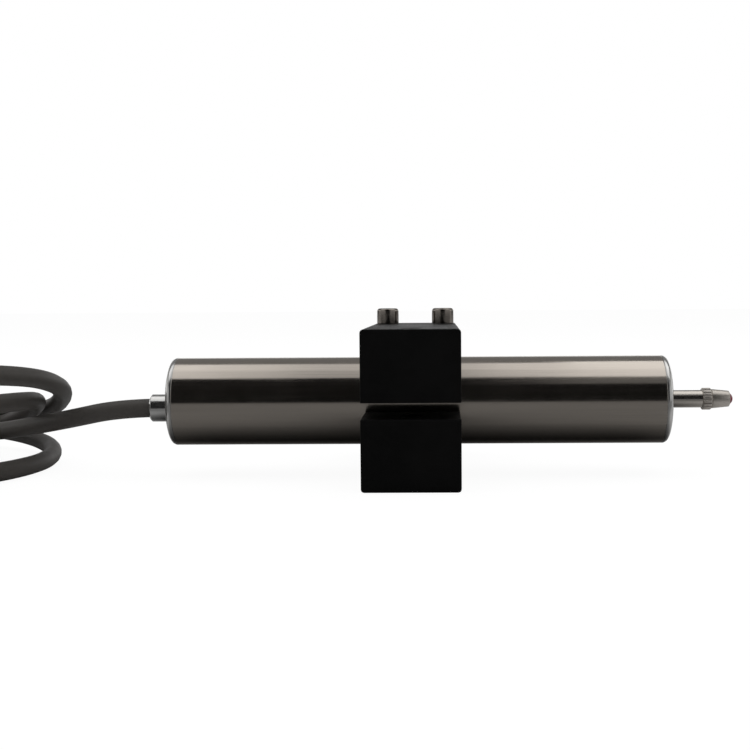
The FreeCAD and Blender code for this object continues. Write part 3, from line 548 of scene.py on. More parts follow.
def set_inputs(modifier, values):
    """Sets a geometry nodes modifier's inputs, found by name, through their identifiers."""
    for item in modifier.node_group.interface.items_tree:
        if item.item_type == "SOCKET" and item.in_out == "INPUT" and item.name in values:
            modifier[item.identifier] = values[item.name]


def grown(name, mesh, group, values):
    """What a geometry nodes group with those inputs makes of the mesh."""
    holder = bpy.data.objects.new(name, mesh)
    bpy.context.scene.collection.objects.link(holder)
    modifier = holder.modifiers.new(group.name, "NODES")
    modifier.node_group = group
    set_inputs(modifier, values)
    result = plain_mesh(holder)
    bpy.data.objects.remove(holder)
    return result


def smoothing_tree():
    """Geometry nodes that join a CAD node's triangles and shade its round faces smooth."""
    name = "Smooth round faces"
    if name in bpy.data.node_groups:
        return bpy.data.node_groups[name]
    inputs = [
        ("Sharp Angle", "NodeSocketFloat", math.radians(32)),
        ("Join Distance", "NodeSocketFloat", 0.001 * MM),
    ]
    group, tree, entry, leave = shape_group(name, inputs)
    given = entry.outputs
    sockets = {"Geometry": given["Geometry"], "Name": "custom_normal"}
    bare = tree.add("GeometryNodeRemoveAttribute", {}, sockets)
    sockets = {"Geometry": bare.outputs[0], "Distance": given["Join Distance"]}
    joined = tree.add("GeometryNodeMergeByDistance", {}, sockets)
    faces = tree.add("GeometryNodeSetShadeSmooth", {"domain": "FACE"}, {"Geometry": joined.outputs[0]})
    bend = tree.add("GeometryNodeInputMeshEdgeAngle")
    sharp = tree.add(
        "FunctionNodeCompare",
        {"data_type": "FLOAT", "operation": "GREATER_THAN"},
        {0: bend.outputs["Unsigned Angle"], 1: given["Sharp Angle"]},
    )
    edges = tree.add(
        "GeometryNodeSetShadeSmooth",
        {"domain": "EDGE"},
        {"Geometry": faces.outputs[0], "Selection": sharp.outputs[0], "Shade Smooth": False},
    )
    tree.feed(leave.inputs[0], edges.outputs[0])
    return group


def dress_node(name, material, angle=32.0):
    """Gives a CAD node its finish, and smooth shading that leaves its mesh alone."""
    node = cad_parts[name]
    modifier = node.modifiers.new("Smooth", "NODES")
    modifier.node_group = smoothing_tree()
    set_inputs(modifier, {"Sharp Angle": math.radians(angle)})
    if not node.data.materials:
        node.data.materials.append(material)
    for slot in node.material_slots:
        slot.link = "OBJECT"
        slot.material = material


# Settings that a user would change


def colour_setting(name, description, default):
    looks = {"subtype": "COLOR", "size": 4, "min": 0, "max": 1}
    return FloatVectorProperty(name=name, description=description, default=(*default, 1.0), **looks)


def length_setting(name, description, default):
    return FloatProperty(
        name=name, description=description, unit="LENGTH", precision=5, default=default
    )


def angle_setting(name, description, default):
    return FloatProperty(name=name, description=description, unit="ROTATION", default=default)


def number_setting(name, description, default):
    return FloatProperty(name=name, description=description, default=default)


class SensorColours(bpy.types.PropertyGroup):
    """Base colours of the finishes."""

    tube: colour_setting("Body tube", "Brushed stainless steel of the body tube", (0.6, 0.545, 0.485))
    caps: colour_setting("End caps", "Turned aluminium of the caps and the ferrule", (0.72, 0.715, 0.7))
    rod: colour_setting("Probe", "Turned steel of the rod and the contact tip", (0.62, 0.58, 0.53))
    screws: colour_setting("Screws", "Plated steel of the mounting screws", (0.31, 0.28, 0.25))
    block: colour_setting("Clamp block", "Black anodised aluminium", (0.0032, 0.0031, 0.0031))
    ball: colour_setting("Ball", "Synthetic ruby of the contact ball", (0.26, 0.004, 0.035))
    jacket: colour_setting("Cable jacket", "Dark grey jacket of the cable", (0.068, 0.062, 0.056))
    bronze: colour_setting("Bushing", "Bearing bronze of the rod's bushing", (0.5, 0.33, 0.17))
    rubber: colour_setting("Rubber", "Wiper seal and grommet", (0.022, 0.022, 0.022))
    former: colour_setting("Former", "Moulded coil former", (0.62, 0.59, 0.5))
    copper: colour_setting("Windings", "Enamelled copper wire", (0.6, 0.22, 0.08))
    shield: colour_setting("Shield", "Nickel-iron shield tube and core", (0.46, 0.45, 0.45))
    board: colour_setting("Board", "Solder mask of the circuit board", (0.02, 0.13, 0.06))
    chips: colour_setting("Board parts", "Moulded bodies of the board's parts", (0.025, 0.025, 0.027))


class SensorSizes(bpy.types.PropertyGroup):
    """Sizes of the pieces' finer shapes."""

    edge_round: length_setting("Edge round", "Radius on turned edges", 0.07 * MM)
    block_round: length_setting("Block round", "Radius of the block's four long edges", 0.8 * MM)
    block_break: length_setting("Block edge break", "Chamfer on the block's other edges", 0.3 * MM)
    groove_count: IntProperty(
        name="Grooves", description="Grooves round the tip's collar", default=18, min=6
    )
    groove_depth: length_setting("Groove depth", "Depth of the collar's grooves", 0.22 * MM)
    socket_across: length_setting("Socket", "Hexagon socket across its flats", 2.5 * MM)
    head_round: length_setting("Head round", "Radius round the top of a screw's head", 0.7 * MM)
    cable_diameter: length_setting("Cable", "Diameter of the cable", 4.3 * MM)


class SensorStage(bpy.types.PropertyGroup):
    """Camera, lamps and background."""

    camera_place: FloatVectorProperty(
        name="Camera place",
        description="Where the camera stands",
        unit="LENGTH",
        default=(5.48 * MM, -272.49 * MM, 40.02 * MM),
    )
    camera_yaw: angle_setting("Yaw", "Turn to the left", 0.0211)
    camera_pitch: angle_setting("Pitch", "Tilt down", 0.0631)
    camera_roll: angle_setting("Roll", "Turn about the view", -0.0068)
    lens: number_setting("Lens", "Focal length on a 36 mm sensor, in mm", 57.11)
    shift: number_setting("Shift", "Sideways shift of the frame", -0.0493)
    soft_light: number_setting("Softboxes", "Brightness of the softboxes overhead", 1.0)
    ambient: number_setting("Room light", "Even light from all round", 0.34)
    backdrop: number_setting("Backdrop", "Brightness of the white backdrop", 1.0)
    floor_colour: colour_setting("Floor", "Pale floor", (0.82, 0.82, 0.82))
    shadow: number_setting("Shadow", "Share of the floor's own shading that shows", 0.13)
    room_front: number_setting("Front room", "Dark room that faces the sensor", 0.006)
    side_panels: number_setting("Side panels", "Dim panels left and right of the camera", 0.45)
    room_rear: number_setting("Rear room", "Room above the backdrop", 0.19)
    floor_gloss: number_setting("Floor in reflections", "How bright metal sees the floor", 0.74)


# Stage

# Soft edges in the room that mirrors see, as (from, to) along a direction's X, Y or Z
REAR_BEGINS = (-0.06, 0.06)
BACKDROP_TOP = (0.2, 0.34)
BACKDROP_SIDES = (0.45, 0.6)
SIDE_GLOOM_TOP = (0.06, 0.16)
PANEL_INNER_EDGE = (0.34, 0.5)
PANEL_REAR_EDGE = (0.18, 0.36)
PANEL_TOP = (0.5, 0.7)
# What is left of the backdrop low down past its sides
SIDE_GLOOM = 0.06
# The even light's share of its strength, from level with the floor to this high up
EVEN_RISE, EVEN_SHARES = (0.0, 0.6), (0.5, 1.3)
# The floor that mirrors see, in metres: painted shadow beside the tube's line, painted light past its
# ends
PAINTED_SHADOW_REACH, PAINTED_SHADOW_SHARES = (0.001, 0.016), (0.1, 0.4)
PAINTED_LIGHT_PAST_ENDS = (0.06, 0.074)
PAINTED_LIGHT_FROM = (-0.045, -0.02)
# How much brighter than the backdrop the camera sees the floor, to make up for its shading
FLOOR_LIFT = 1.08


def build_world(stage):
    """White to the camera, an even room as a light, and a darker studio for mirrors."""
    world = bpy.data.worlds.new("studio")
    bpy.context.scene.world = world
    world.use_nodes = True
    tree = Tree(world.node_tree)
    path = tree.add("ShaderNodeLightPath").outputs
    way = tree.add("ShaderNodeTexCoord").outputs["Generated"]
    across, ahead, up = tree.parts(way)
    behind = tree.span(ahead, *REAR_BEGINS, 0.0, 1.0)
    low = tree.span(up, *BACKDROP_TOP, 1.0, 0.0)
    sideways = tree.math("ABSOLUTE", across)
    narrow = tree.span(sideways, *BACKDROP_SIDES, 1.0, tree.span(up, *SIDE_GLOOM_TOP, SIDE_GLOOM, 1.0))
    rear = tree.math("MULTIPLY_ADD", low, stage.backdrop - stage.room_rear, stage.room_rear)
    rear = tree.math("MULTIPLY", rear, narrow)
    panel = tree.span(sideways, *PANEL_INNER_EDGE, 0.0, 1.0)
    panel = tree.math("MULTIPLY", panel, tree.span(ahead, *PANEL_REAR_EDGE, 1.0, 0.0))
    panel = tree.math("MULTIPLY", panel, tree.span(up, *PANEL_TOP, 1.0, 0.0))
    room = tree.mix(behind, stage.room_front, rear)
    studio = tree.math("MULTIPLY_ADD", panel, stage.side_panels, room)
    even = tree.math("MULTIPLY", tree.span(up, *EVEN_RISE, *EVEN_SHARES), stage.ambient)
    level = tree.mix(tree.mirrored(path), even, studio)
    seen = tree.mix(path["Is Camera Ray"], level, stage.backdrop)
    light = tree.add("ShaderNodeBackground", {}, {"Color": (1, 1, 1, 1), "Strength": seen})
    tree.add("ShaderNodeOutputWorld", {}, {"Surface": light.outputs[0]})


def floor_material(stage):
    """White with a faint shadow to the camera; mirrors see it dimmed, with a painted shadow beside the
    tube's line and painted light past its ends.
    """
    material = bpy.data.materials.new("pale_floor")
    material.use_nodes = True
    tree = Tree(material.node_tree)
    path = tree.add("ShaderNodeLightPath").outputs
    along, aside, _ = tree.parts(tree.add("ShaderNodeTexCoord").outputs["Object"])
    # Painted shadow and painted light on the floor that mirrors see: dark beside the tube's line,
    # bright past its ends.
    beside = tree.span(tree.math("ABSOLUTE", aside), *PAINTED_SHADOW_REACH, *PAINTED_SHADOW_SHARES)
    painted_light_past_end = tree.span(tree.math("ABSOLUTE", along), *PAINTED_LIGHT_PAST_ENDS, 0.0, 1.0)
    painted_light_past_end = tree.math("MULTIPLY", painted_light_past_end, tree.span(aside, *PAINTED_LIGHT_FROM, 0.0, 1.0))
    lit = tree.ranged(painted_light_past_end, beside, 1.0)
    dull = tree.tint(lit, (0, 0, 0, 1), shade(stage.floor_colour, stage.floor_gloss))
    colour = tree.tint(tree.mirrored(path), tuple(stage.floor_colour), dull)
    diffuse = tree.add("ShaderNodeBsdfDiffuse", {}, {"Color": colour})
    strength = tree.math("MULTIPLY", path["Is Camera Ray"], stage.backdrop * FLOOR_LIFT)
    glow = tree.add("ShaderNodeEmission", {}, {"Strength": strength})
    camera_share = tree.math("MULTIPLY", path["Is Camera Ray"], 1 - stage.shadow)
    sockets = {0: camera_share, 1: diffuse.outputs[0], 2: glow.outputs[0]}
    mix = tree.add("ShaderNodeMixShader", {}, sockets)
    tree.add("ShaderNodeOutputMaterial", {}, {"Surface": mix.outputs[0]})
    return material


class SENSOR_OT_stage(bpy.types.Operator):
    """Lay the pale floor, hang the softboxes and stand the camera in its place"""

    bl_idname = "sensor.stage"
    bl_label = "Stage"

    floor_reach = 4.0
    softbox_height = 0.95
    sensor_width = 36.0
    # Each softbox: middle along X, middle along Y, width, depth and brightness
    softboxes = [
        (-0.63, 0.03, 0.8, 0.9, 0.84),
        (-0.19, 0.03, 0.08, 0.9, 0.66),
        (-0.0475, 0.03, 0.205, 0.9, 0.44),
        (0.1, 0.03, 0.09, 0.9, 0.7),
        (0.545, 0.095, 0.8, 1.03, 0.96),
        (0.545, -0.66, 0.8, 0.48, 0.13),
    ]

    def execute(self, context):
        stage = context.scene.sensor_stage
        context.scene.view_settings.view_transform = "Standard"
        build_world(stage)

        plane = bpy.data.meshes.new("floor")
        reach = self.floor_reach
        corners = [(-reach, -reach, 0), (reach, -reach, 0), (reach, reach, 0), (-reach, reach, 0)]
        plane.from_pydata(corners, [], [(0, 1, 2, 3)])
        floor = bpy.data.objects.new("floor", plane)
        context.scene.collection.objects.link(floor)
        floor.data.materials.append(floor_material(stage))

        # A lamp's power in watts for its face to look as bright as a white panel of that brightness
        for x, y, width, depth, brightness in self.softboxes:
            lamp = bpy.data.lights.new("softbox", "AREA")
            lamp.shape = "RECTANGLE"
            lamp.size, lamp.size_y = width, depth
            lamp.energy = stage.soft_light * brightness * math.pi * width * depth
            softbox = bpy.data.objects.new("softbox", lamp)
            softbox.location = (x, y, self.softbox_height)
            context.scene.collection.objects.link(softbox)

        view = bpy.data.cameras.new("camera")
        view.sensor_width = self.sensor_width
        view.lens = stage.lens
        view.shift_x = stage.shift
        camera = bpy.data.objects.new("camera", view)
        turn = Matrix.Rotation(stage.camera_yaw, 4, "Z")
        turn = turn @ Matrix.Rotation(math.pi / 2 - stage.camera_pitch, 4, "X")
        turn = turn @ Matrix.Rotation(stage.camera_roll, 4, "Z")
        camera.matrix_world = Matrix.Translation(stage.camera_place) @ turn
        context.scene.collection.objects.link(camera)
        context.scene.camera = camera
        return {"FINISHED"}


# Cable

# From the ferrule's mouth to where the coil's first turn begins, in mm
CABLE_LEAD = [
    (-60.5, 0.0, 15.5),
    (-68.6, 0.0, 15.3),
    (-79.6, 2.0, 12.95),
    (-91.0, 9.0, 10.55),
    (-102.5, 17.5, 8.3),
    (-114.0, 26.0, 6.9),
]
# Where the coil's turns run: angle, centre's x and y, radius and height, in degrees and mm
COIL_STATIONS = [
    (110, -127, -2, 40, 6.6),
    (180, -127, -4, 42.5, 9.6),
    (215, -127, -5, 44, 13.6),
    (250, -126.6, -5, 46, 20.5),
    (290, -126.3, -5, 46.3, 25.5),
    (326, -126.3, -5, 46.3, 25.4),
    (350, -126.3, -5, 46.1, 23.4),
    (374, -126.4, -5, 45.9, 18.9),
    (398, -127, -3, 45, 13.0),
    (422, -127.5, -1, 45, 11.5),
    (470, -128, 0, 44, 11.4),
    (540, -130, 2, 40, 15.2),
    (600, -130, 3, 40, 16.5),
    (650, -128.6, 2, 40.5, 17.8),
    (722, -127.5, 2, 40.3, 17.7),
    (745, -129.4, 2, 38.8, 14.9),
    (770, -130.8, 5, 38.8, 8.0),
    (800, -134, 9, 41, 5.0),
    (830, -138, 11, 46, 2.2),
    (850, -138, 11, 48.3, 2.2),
    (900, -138, 11, 50, 2.2),
    (990, -136, 12, 47, 2.2),
    (1053, -131.6, 8, 44.4, 2.2),
    (1074, -131.6, 8, 43.9, 2.2),
    (1102, -131.6, 9, 43.2, 2.2),
    (1130, -131.6, 9, 46.0, 3.4),
    (1155, -133, 9, 48.5, 5.4),
    (1185, -137, 11, 46, 7.2),
    (1210, -140, 11, 42.5, 7.2),
    (1230, -142, 11, 41.5, 6.8),
    (1275, -142.8, 11, 38.6, 2.2),
    (1480, -142.8, 11, 38.6, 2.2),
    (1520, -142.8, 11, 36.4, 6.4),
    (1735, -142.8, 11, 36.4, 6.4),
    (1760, -142.8, 11, 33.8, 6.2),
    (1785, -142.8, 11, 33.6, 2.2),
    (1975, -142.8, 11, 33.2, 2.2),
]
# Degrees from one control point to the next
COIL_STEP = 24
# Where the jacket ends, the way it points there and how long it runs straight, in mm
JACKET_END = Vector((-164.9, -5.0, 2.15))
JACKET_WAY = Vector((0.91, -0.42, 0.0)).normalized()
JACKET_RUN = 9


def between(stations, angle):
    """The stations' values at that angle, on straight lines between them."""
    for low, high in zip(stations, stations[1:]):
        if low[0] <= angle <= high[0]:
            share = (angle - low[0]) / (high[0] - low[0])
            return [one + (two - one) * share for one, two in zip(low[1:], high[1:])]
    return list(stations[-1][1:])


def cable_route():
    """The cable's control points in metres: the lead, the coil's turns and the end."""
    route = [Vector(point) for point in CABLE_LEAD]
    angle = COIL_STATIONS[0][0]
    while angle <= COIL_STATIONS[-1][0]:
        x, y, radius, height = between(COIL_STATIONS, angle)
        turn = math.radians(angle)
        route.append(Vector((x + radius * math.cos(turn), y + radius * math.sin(turn), height)))
        angle += COIL_STEP
    route += [JACKET_END - JACKET_RUN * JACKET_WAY, JACKET_END]
    return [point * MM for point in route]


def smooth_curve(name, points, diameter, detail=10, ring=6):
    """A round NURBS curve with the points as its control points."""
    curve = bpy.data.curves.new(name, "CURVE")
    curve.dimensions = "3D"
    spline = curve.splines.new("NURBS")
    spline.points.add(len(points) - 1)
    for spot, point in zip(spline.points, points):
        spot.co = (*point, 1.0)
    spline.order_u = 3
    spline.use_endpoint_u = True
    curve.resolution_u = detail
    curve.bevel_depth = diameter / 2
    curve.bevel_resolution = ring
    curve.use_fill_caps = True
    return curve


class SENSOR_OT_cable(bpy.types.Operator):
    """Run the jacketed cable from the ferrule into its loose coil"""

    bl_idname = "sensor.cable"
    bl_label = "Cable"

    length = 1.45

    def execute(self, context):
        sizes, colours = context.scene.sensor_sizes, context.scene.sensor_colours
        grain = {"scale": 3200.0, "depth": 0.006 * MM}
        jacket = smooth_plastic("cable_jacket", colours.jacket, rough=0.5, specular=0.4, **grain)
        route = cable_route()
        cable = bpy.data.objects.new("cable", smooth_curve("cable", route, sizes.cable_diameter))
        context.scene.collection.objects.link(cable)
        declare(cable, "sensor", "cable_jacket", jacket, "cable_lead", "cable_coil")
        dress_node("cable_entry", jacket)
        leads = build_leads()
        return {"FINISHED"}


# Each bare lead's two ends, as (forward, sideways, up) from the end of the jacket, in mm
LEAD_FANS = [
    ((0.0, -0.85, 0.8), (12.0, -5.4, -1.1)),
    ((0.0, -0.75, -0.75), (12.5, -2.0, -1.4)),
    ((0.0, 0.75, -0.75), (12.5, 1.8, -1.4)),
    ((0.0, 0.85, 0.8), (11.5, 5.2, -1.1)),
]
LEAD_PAINTS = [(0.45, 0.02, 0.02), (0.02, 0.02, 0.022), (0.62, 0.6, 0.56), (0.03, 0.2, 0.05)]
TIN = (0.7, 0.69, 0.66)
# Widths, the tinned length, and how deep lead and wire start inside what covers them, in mm
LEAD_WIDTH, WIRE_WIDTH = 1.2, 0.7
TINNED = 4.0
IN_JACKET, IN_LEAD = 1.5, 0.6
# How far a lead bows out for each stretch that it goes sideways, in mm
LEAD_BOW, BOW_STRETCH = 0.6, 6


def swept(points, diameter):
    """A round mesh along a smooth curve through the points' bends."""
    curve = smooth_curve("holder", points, diameter, detail=8, ring=3)
    holder = bpy.data.objects.new("holder", curve)
    bpy.context.scene.collection.objects.link(holder)
    depsgraph = bpy.context.evaluated_depsgraph_get()
    mesh = bpy.data.meshes.new_from_object(holder.evaluated_get(depsgraph), depsgraph=depsgraph)
    bpy.data.objects.remove(holder)
    return mesh


def build_leads():
    """The four stripped leads that fan out of the jacket's end, as one piece."""
    side = Vector((-JACKET_WAY.y, JACKET_WAY.x, 0))
    up = Vector((0, 0, 1))
    whole = bmesh.new()
    paint = whole.verts.layers.float_color.new("lead_colour")
    for (start, end), colour in zip(LEAD_FANS, LEAD_PAINTS):
        first, last = (
            JACKET_END + JACKET_WAY * ahead + side * aside + up * rise
            for ahead, aside, rise in (start, end)
        )
        bow = side * LEAD_BOW * (last - first).dot(side) / BOW_STRETCH
        middle = first + (last - first) * 0.5 + bow
        strip = last - (last - middle).normalized() * TINNED
        inside = first - JACKET_WAY * IN_JACKET
        hidden = strip - (last - strip).normalized() * IN_LEAD
        runs = [
            ([inside, first, middle, strip], LEAD_WIDTH, (*colour, 1.0)),
            ([hidden, strip, last], WIRE_WIDTH, (*TIN, 0.0)),
        ]
        for points, width, tone in runs:
            mesh = swept([point * MM for point in points], width * MM)
            before = len(whole.verts)
            whole.from_mesh(mesh)
            whole.verts.ensure_lookup_table()
            for vert in whole.verts[before:]:
                vert[paint] = tone
    for face in whole.faces:
        face.smooth = True
    mesh = to_mesh(whole, "stripped_leads")
    return add_piece("stripped_leads", mesh, "sensor", "lead_insulation", lead_finish(), "bare_leads")


# Sensor body


class SENSOR_OT_end_caps(bpy.types.Operator):
    """Turn the two end caps, with the seam where each flange meets the tube"""

    bl_idname = "sensor.end_caps"
    bl_label = "End caps"

    tube_wall = 1.25 * MM
    flange = 0.6 * MM
    chamfer = 0.95 * MM
    chamfer_bulge = 0.15 * MM
    chamfer_steps = 5
    seam = 0.15 * MM
    seam_depth = 0.15 * MM
    front_bore = 3.75 * MM
    bore_break = 0.2 * MM
    rear_pocket = 6.5 * MM
    rear_floor = 3.0 * MM
    rear_bore = 2.65 * MM

    def flange_rings(self, start, seated, out):
        """The seam, the flush flange and its chamfer, outwards from the tube's end."""
        outer = TUBE_RADIUS
        rounded = []
        for step in range(1, self.chamfer_steps + 1):
            share = step / self.chamfer_steps
            push = self.chamfer_bulge * math.sin(math.pi * share)
            reach = self.flange + self.chamfer * share + push
            rounded.append((start + out * reach, outer - self.chamfer * share + push))
        return [
            (start, seated),
            (start, outer - self.seam_depth),
            (start + out * self.seam, outer - self.seam_depth),
            (start + out * self.seam, outer),
            (start + out * self.flange, outer),
        ] + rounded

    def execute(self, context):
        sizes, colours = context.scene.sensor_sizes, context.scene.sensor_colours
        seated = TUBE_RADIUS - self.tube_wall - SEAT_GAP
        marks = {"pitch": 7000.0, "low": 0.14, "high": 0.22, "depth": 0.001 * MM}
        metal = turned_metal("turned_aluminium", colours.caps, AXIS_HEIGHT, **marks)

        hole = self.front_bore
        rings = [(CAP_LOW.x, hole), (CAP_LOW.x, seated)]
        rings += self.flange_rings(TUBE_FRONT, seated, 1)
        rings += [(CAP_HIGH.x, hole + self.bore_break), (CAP_HIGH.x - self.bore_break, hole)]
        front = raised(softened(to_mesh(lathe(rings), "front_end_cap"), sizes.edge_round), AXIS_HEIGHT)
        add_piece("front_end_cap", front, "sensor", "turned_aluminium", metal, "front_cap")

        pocket, bore = self.rear_pocket, self.rear_bore
        floor = REAR_CAP_LOW.x + self.rear_floor
        rings = [(REAR_CAP_HIGH.x, pocket), (REAR_CAP_HIGH.x, seated)]
        rings += self.flange_rings(TUBE_REAR, seated, -1)
        shape = lathe(rings + [(REAR_CAP_LOW.x, bore), (floor, bore), (floor, pocket)])
        for vert in shape.verts:
            if math.hypot(vert.co.y, vert.co.z) < bore + CLOSE:
                vert.co.z -= AXIS_HEIGHT - CABLE_HEIGHT
        rear = raised(softened(to_mesh(shape, "rear_end_cap"), sizes.edge_round), AXIS_HEIGHT)
        add_piece("rear_end_cap", rear, "sensor", "turned_aluminium", metal, "rear_cap")
        return {"FINISHED"}


class SENSOR_OT_ferrule(bpy.types.Operator):
    """Turn the cable ferrule that screws into the rear cap"""

    bl_idname = "sensor.ferrule"
    bl_label = "Cable ferrule"

    chamfer = 0.4 * MM
    thread_radius = 2.6 * MM
    mouth_break = 0.2 * MM

    def execute(self, context):
        sizes, colours = context.scene.sensor_sizes, context.scene.sensor_colours
        marks = {"pitch": 6000.0, "low": 0.12, "high": 0.18, "depth": 0.0006 * MM}
        metal = turned_metal("ferrule_steel", shade(colours.caps, 1.1), CABLE_HEIGHT, **marks)
        mouth, inner = FERRULE_LOW.x, FERRULE_HIGH.x
        outer = (FERRULE_HIGH.z - FERRULE_LOW.z) / 2
        bore = sizes.cable_diameter / 2 + SEAT_GAP
        shoulder = REAR_CAP_LOW.x
        rings = [
            (mouth + self.mouth_break, bore),
            (mouth, bore + self.mouth_break),
            (mouth, outer - self.chamfer),
            (mouth + self.chamfer, outer),
            (shoulder, outer),
            (shoulder, self.thread_radius),
            (inner, self.thread_radius),
            (inner, bore),
        ]
        mesh = softened(to_mesh(lathe(rings, sides=96), "ferrule"), sizes.edge_round)
        ferrule = raised(mesh, CABLE_HEIGHT)
        add_piece("ferrule", ferrule, "sensor", "turned_aluminium", metal, "cable_ferrule")
        return {"FINISHED"}


# Plunger


def groove_tree():
    """Geometry nodes that cut straight grooves round a collar on the X axis."""
    inputs = [
        ("Grooves", "NodeSocketInt", 18),
        ("Depth", "NodeSocketFloat", 0.2 * MM),
        ("Radius", "NodeSocketFloat", 2.4 * MM),
        ("Land", "NodeSocketFloat", 0.38),
        ("Rear", "NodeSocketFloat", 0.0),
        ("Front", "NodeSocketFloat", 1.0),
        ("Material", "NodeSocketMaterial", None),
    ]
    group, tree, entry, leave = shape_group("Collar grooves", inputs)
    given = entry.outputs
    x, y, z = tree.parts(tree.add("GeometryNodeInputPosition").outputs[0])
    reach = tree.math("MAXIMUM", tree.distance(y, z), CLOSE)
    grooves = tree.math("DIVIDE", given["Grooves"], 2 * math.pi)
    phase = tree.math("FRACT", tree.math("MULTIPLY", tree.math("ARCTAN2", y, z), grooves))
    off = tree.math("MULTIPLY", tree.math("ABSOLUTE", tree.math("SUBTRACT", phase, 0.5)), 2.0)
    flank = tree.math("SUBTRACT", 1.0, given["Land"])
    sockets = {"Value": off, "From Min": 0.0, "From Max": flank, "To Min": 1.0, "To Max": 0.0}
    smooth = {"interpolation_type": "SMOOTHSTEP"}
    slope = tree.add("ShaderNodeMapRange", smooth, sockets).outputs[0]
    limit = tree.math("SUBTRACT", given["Radius"], tree.math("MULTIPLY", slope, given["Depth"]))
    ratio = tree.math("MINIMUM", tree.math("DIVIDE", limit, reach), 1.0)
    past_rear = tree.math("GREATER_THAN", x, given["Rear"])
    inside = tree.math("MULTIPLY", past_rear, tree.math("LESS_THAN", x, given["Front"]))
    moved = tree.vector(x, tree.math("MULTIPLY", y, ratio), tree.math("MULTIPLY", z, ratio))
    sockets = {"Geometry": given["Geometry"], "Selection": inside, "Position": moved}
    cut = tree.add("GeometryNodeSetPosition", {}, sockets).outputs[0]
    tree.feed(leave.inputs[0], realized(tree, cut, given["Material"]))
    return group


class SENSOR_OT_probe(bpy.types.Operator):
    """Turn the contact tip with its grooved collar, and finish the rod and the ruby ball"""

    bl_idname = "sensor.probe"
    bl_label = "Probe rod and tip"

    collar_radius = 2.5 * MM
    collar_length = 2.0 * MM
    collar_break = 0.16 * MM
    neck_length = 0.2 * MM
    neck_radius = 2.0 * MM
    neck_step = 0.05 * MM
    nose_root = 2.2 * MM
    nose_end = 1.825 * MM
    nose_length = 3.85 * MM
    nose_chamfer = 0.13 * MM
    ball_radius = 1.5 * MM
    stud_radius = 1.25 * MM
    stud_length = 3.5 * MM
    edge_round = 0.04 * MM
    sides = 288

    def execute(self, context):
        sizes, colours = context.scene.sensor_sizes, context.scene.sensor_colours
        bright = {"pitch": 8000.0, "low": 0.14, "high": 0.2, "depth": 0.0006 * MM}
        steel = turned_metal("turned_steel", colours.rod, AXIS_HEIGHT, **bright)
        matt = {"pitch": 5200.0, "low": 0.3, "high": 0.4, "depth": 0.004 * MM}
        tip_metal = turned_metal("tip_steel", colours.rod, AXIS_HEIGHT, **matt)
        rear = TIP_REAR
        nose = rear + self.collar_length + self.neck_length
        taper = nose + self.nose_length
        end = taper + self.nose_chamfer
        seat = self.ball_radius + SEAT_GAP
        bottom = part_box("ruby_ball")[0].x - SEAT_GAP
        stud = rear + self.stud_length + SEAT_GAP
        stud_bore = self.stud_radius + SEAT_GAP
        rings = [
            (rear, stud_bore),
            (rear, self.collar_radius - self.collar_break),
            (rear + self.collar_break, self.collar_radius),
            (rear + self.collar_length - self.collar_break, self.collar_radius),
            (rear + self.collar_length, self.collar_radius - self.collar_break),
            (rear + self.collar_length, self.neck_radius),
            (nose - self.neck_step, self.neck_radius),
            (nose, self.nose_root),
            (taper, self.nose_end),
            (end, self.nose_end - self.nose_chamfer),
            (end, seat),
            (bottom, seat),
            (bottom, 0),
            (stud, 0),
            (stud, stud_bore),
        ]
        plain = softened(to_mesh(lathe(rings, sides=self.sides), "probe_tip"), self.edge_round)
        values = {
            "Grooves": sizes.groove_count,
            "Depth": sizes.groove_depth,
            "Radius": self.collar_radius,
            "Rear": rear - CLOSE,
            "Front": rear + self.collar_length + CLOSE,
            "Material": tip_metal,
        }
        grooved = softened(grown("probe_tip", plain, groove_tree(), values), 0)
        tip = raised(grooved, AXIS_HEIGHT)
        add_piece("probe_tip", tip, "plunger", "turned_steel", tip_metal, "contact_tip")

        for name in ("probe_rod", "guide_pin", "core_rod", "core_nut"):
            dress_node(name, steel)
        dress_node("ruby_ball", ruby(colours.ball), angle=60)
        marks = {"pitch": 4000.0, "low": 0.2, "high": 0.3, "depth": 0.004 * MM}
        alloy = turned_metal("core_alloy", colours.shield, AXIS_HEIGHT, **marks)
        dress_node("magnetic_core", alloy)
        return {"FINISHED"}


# Clamp


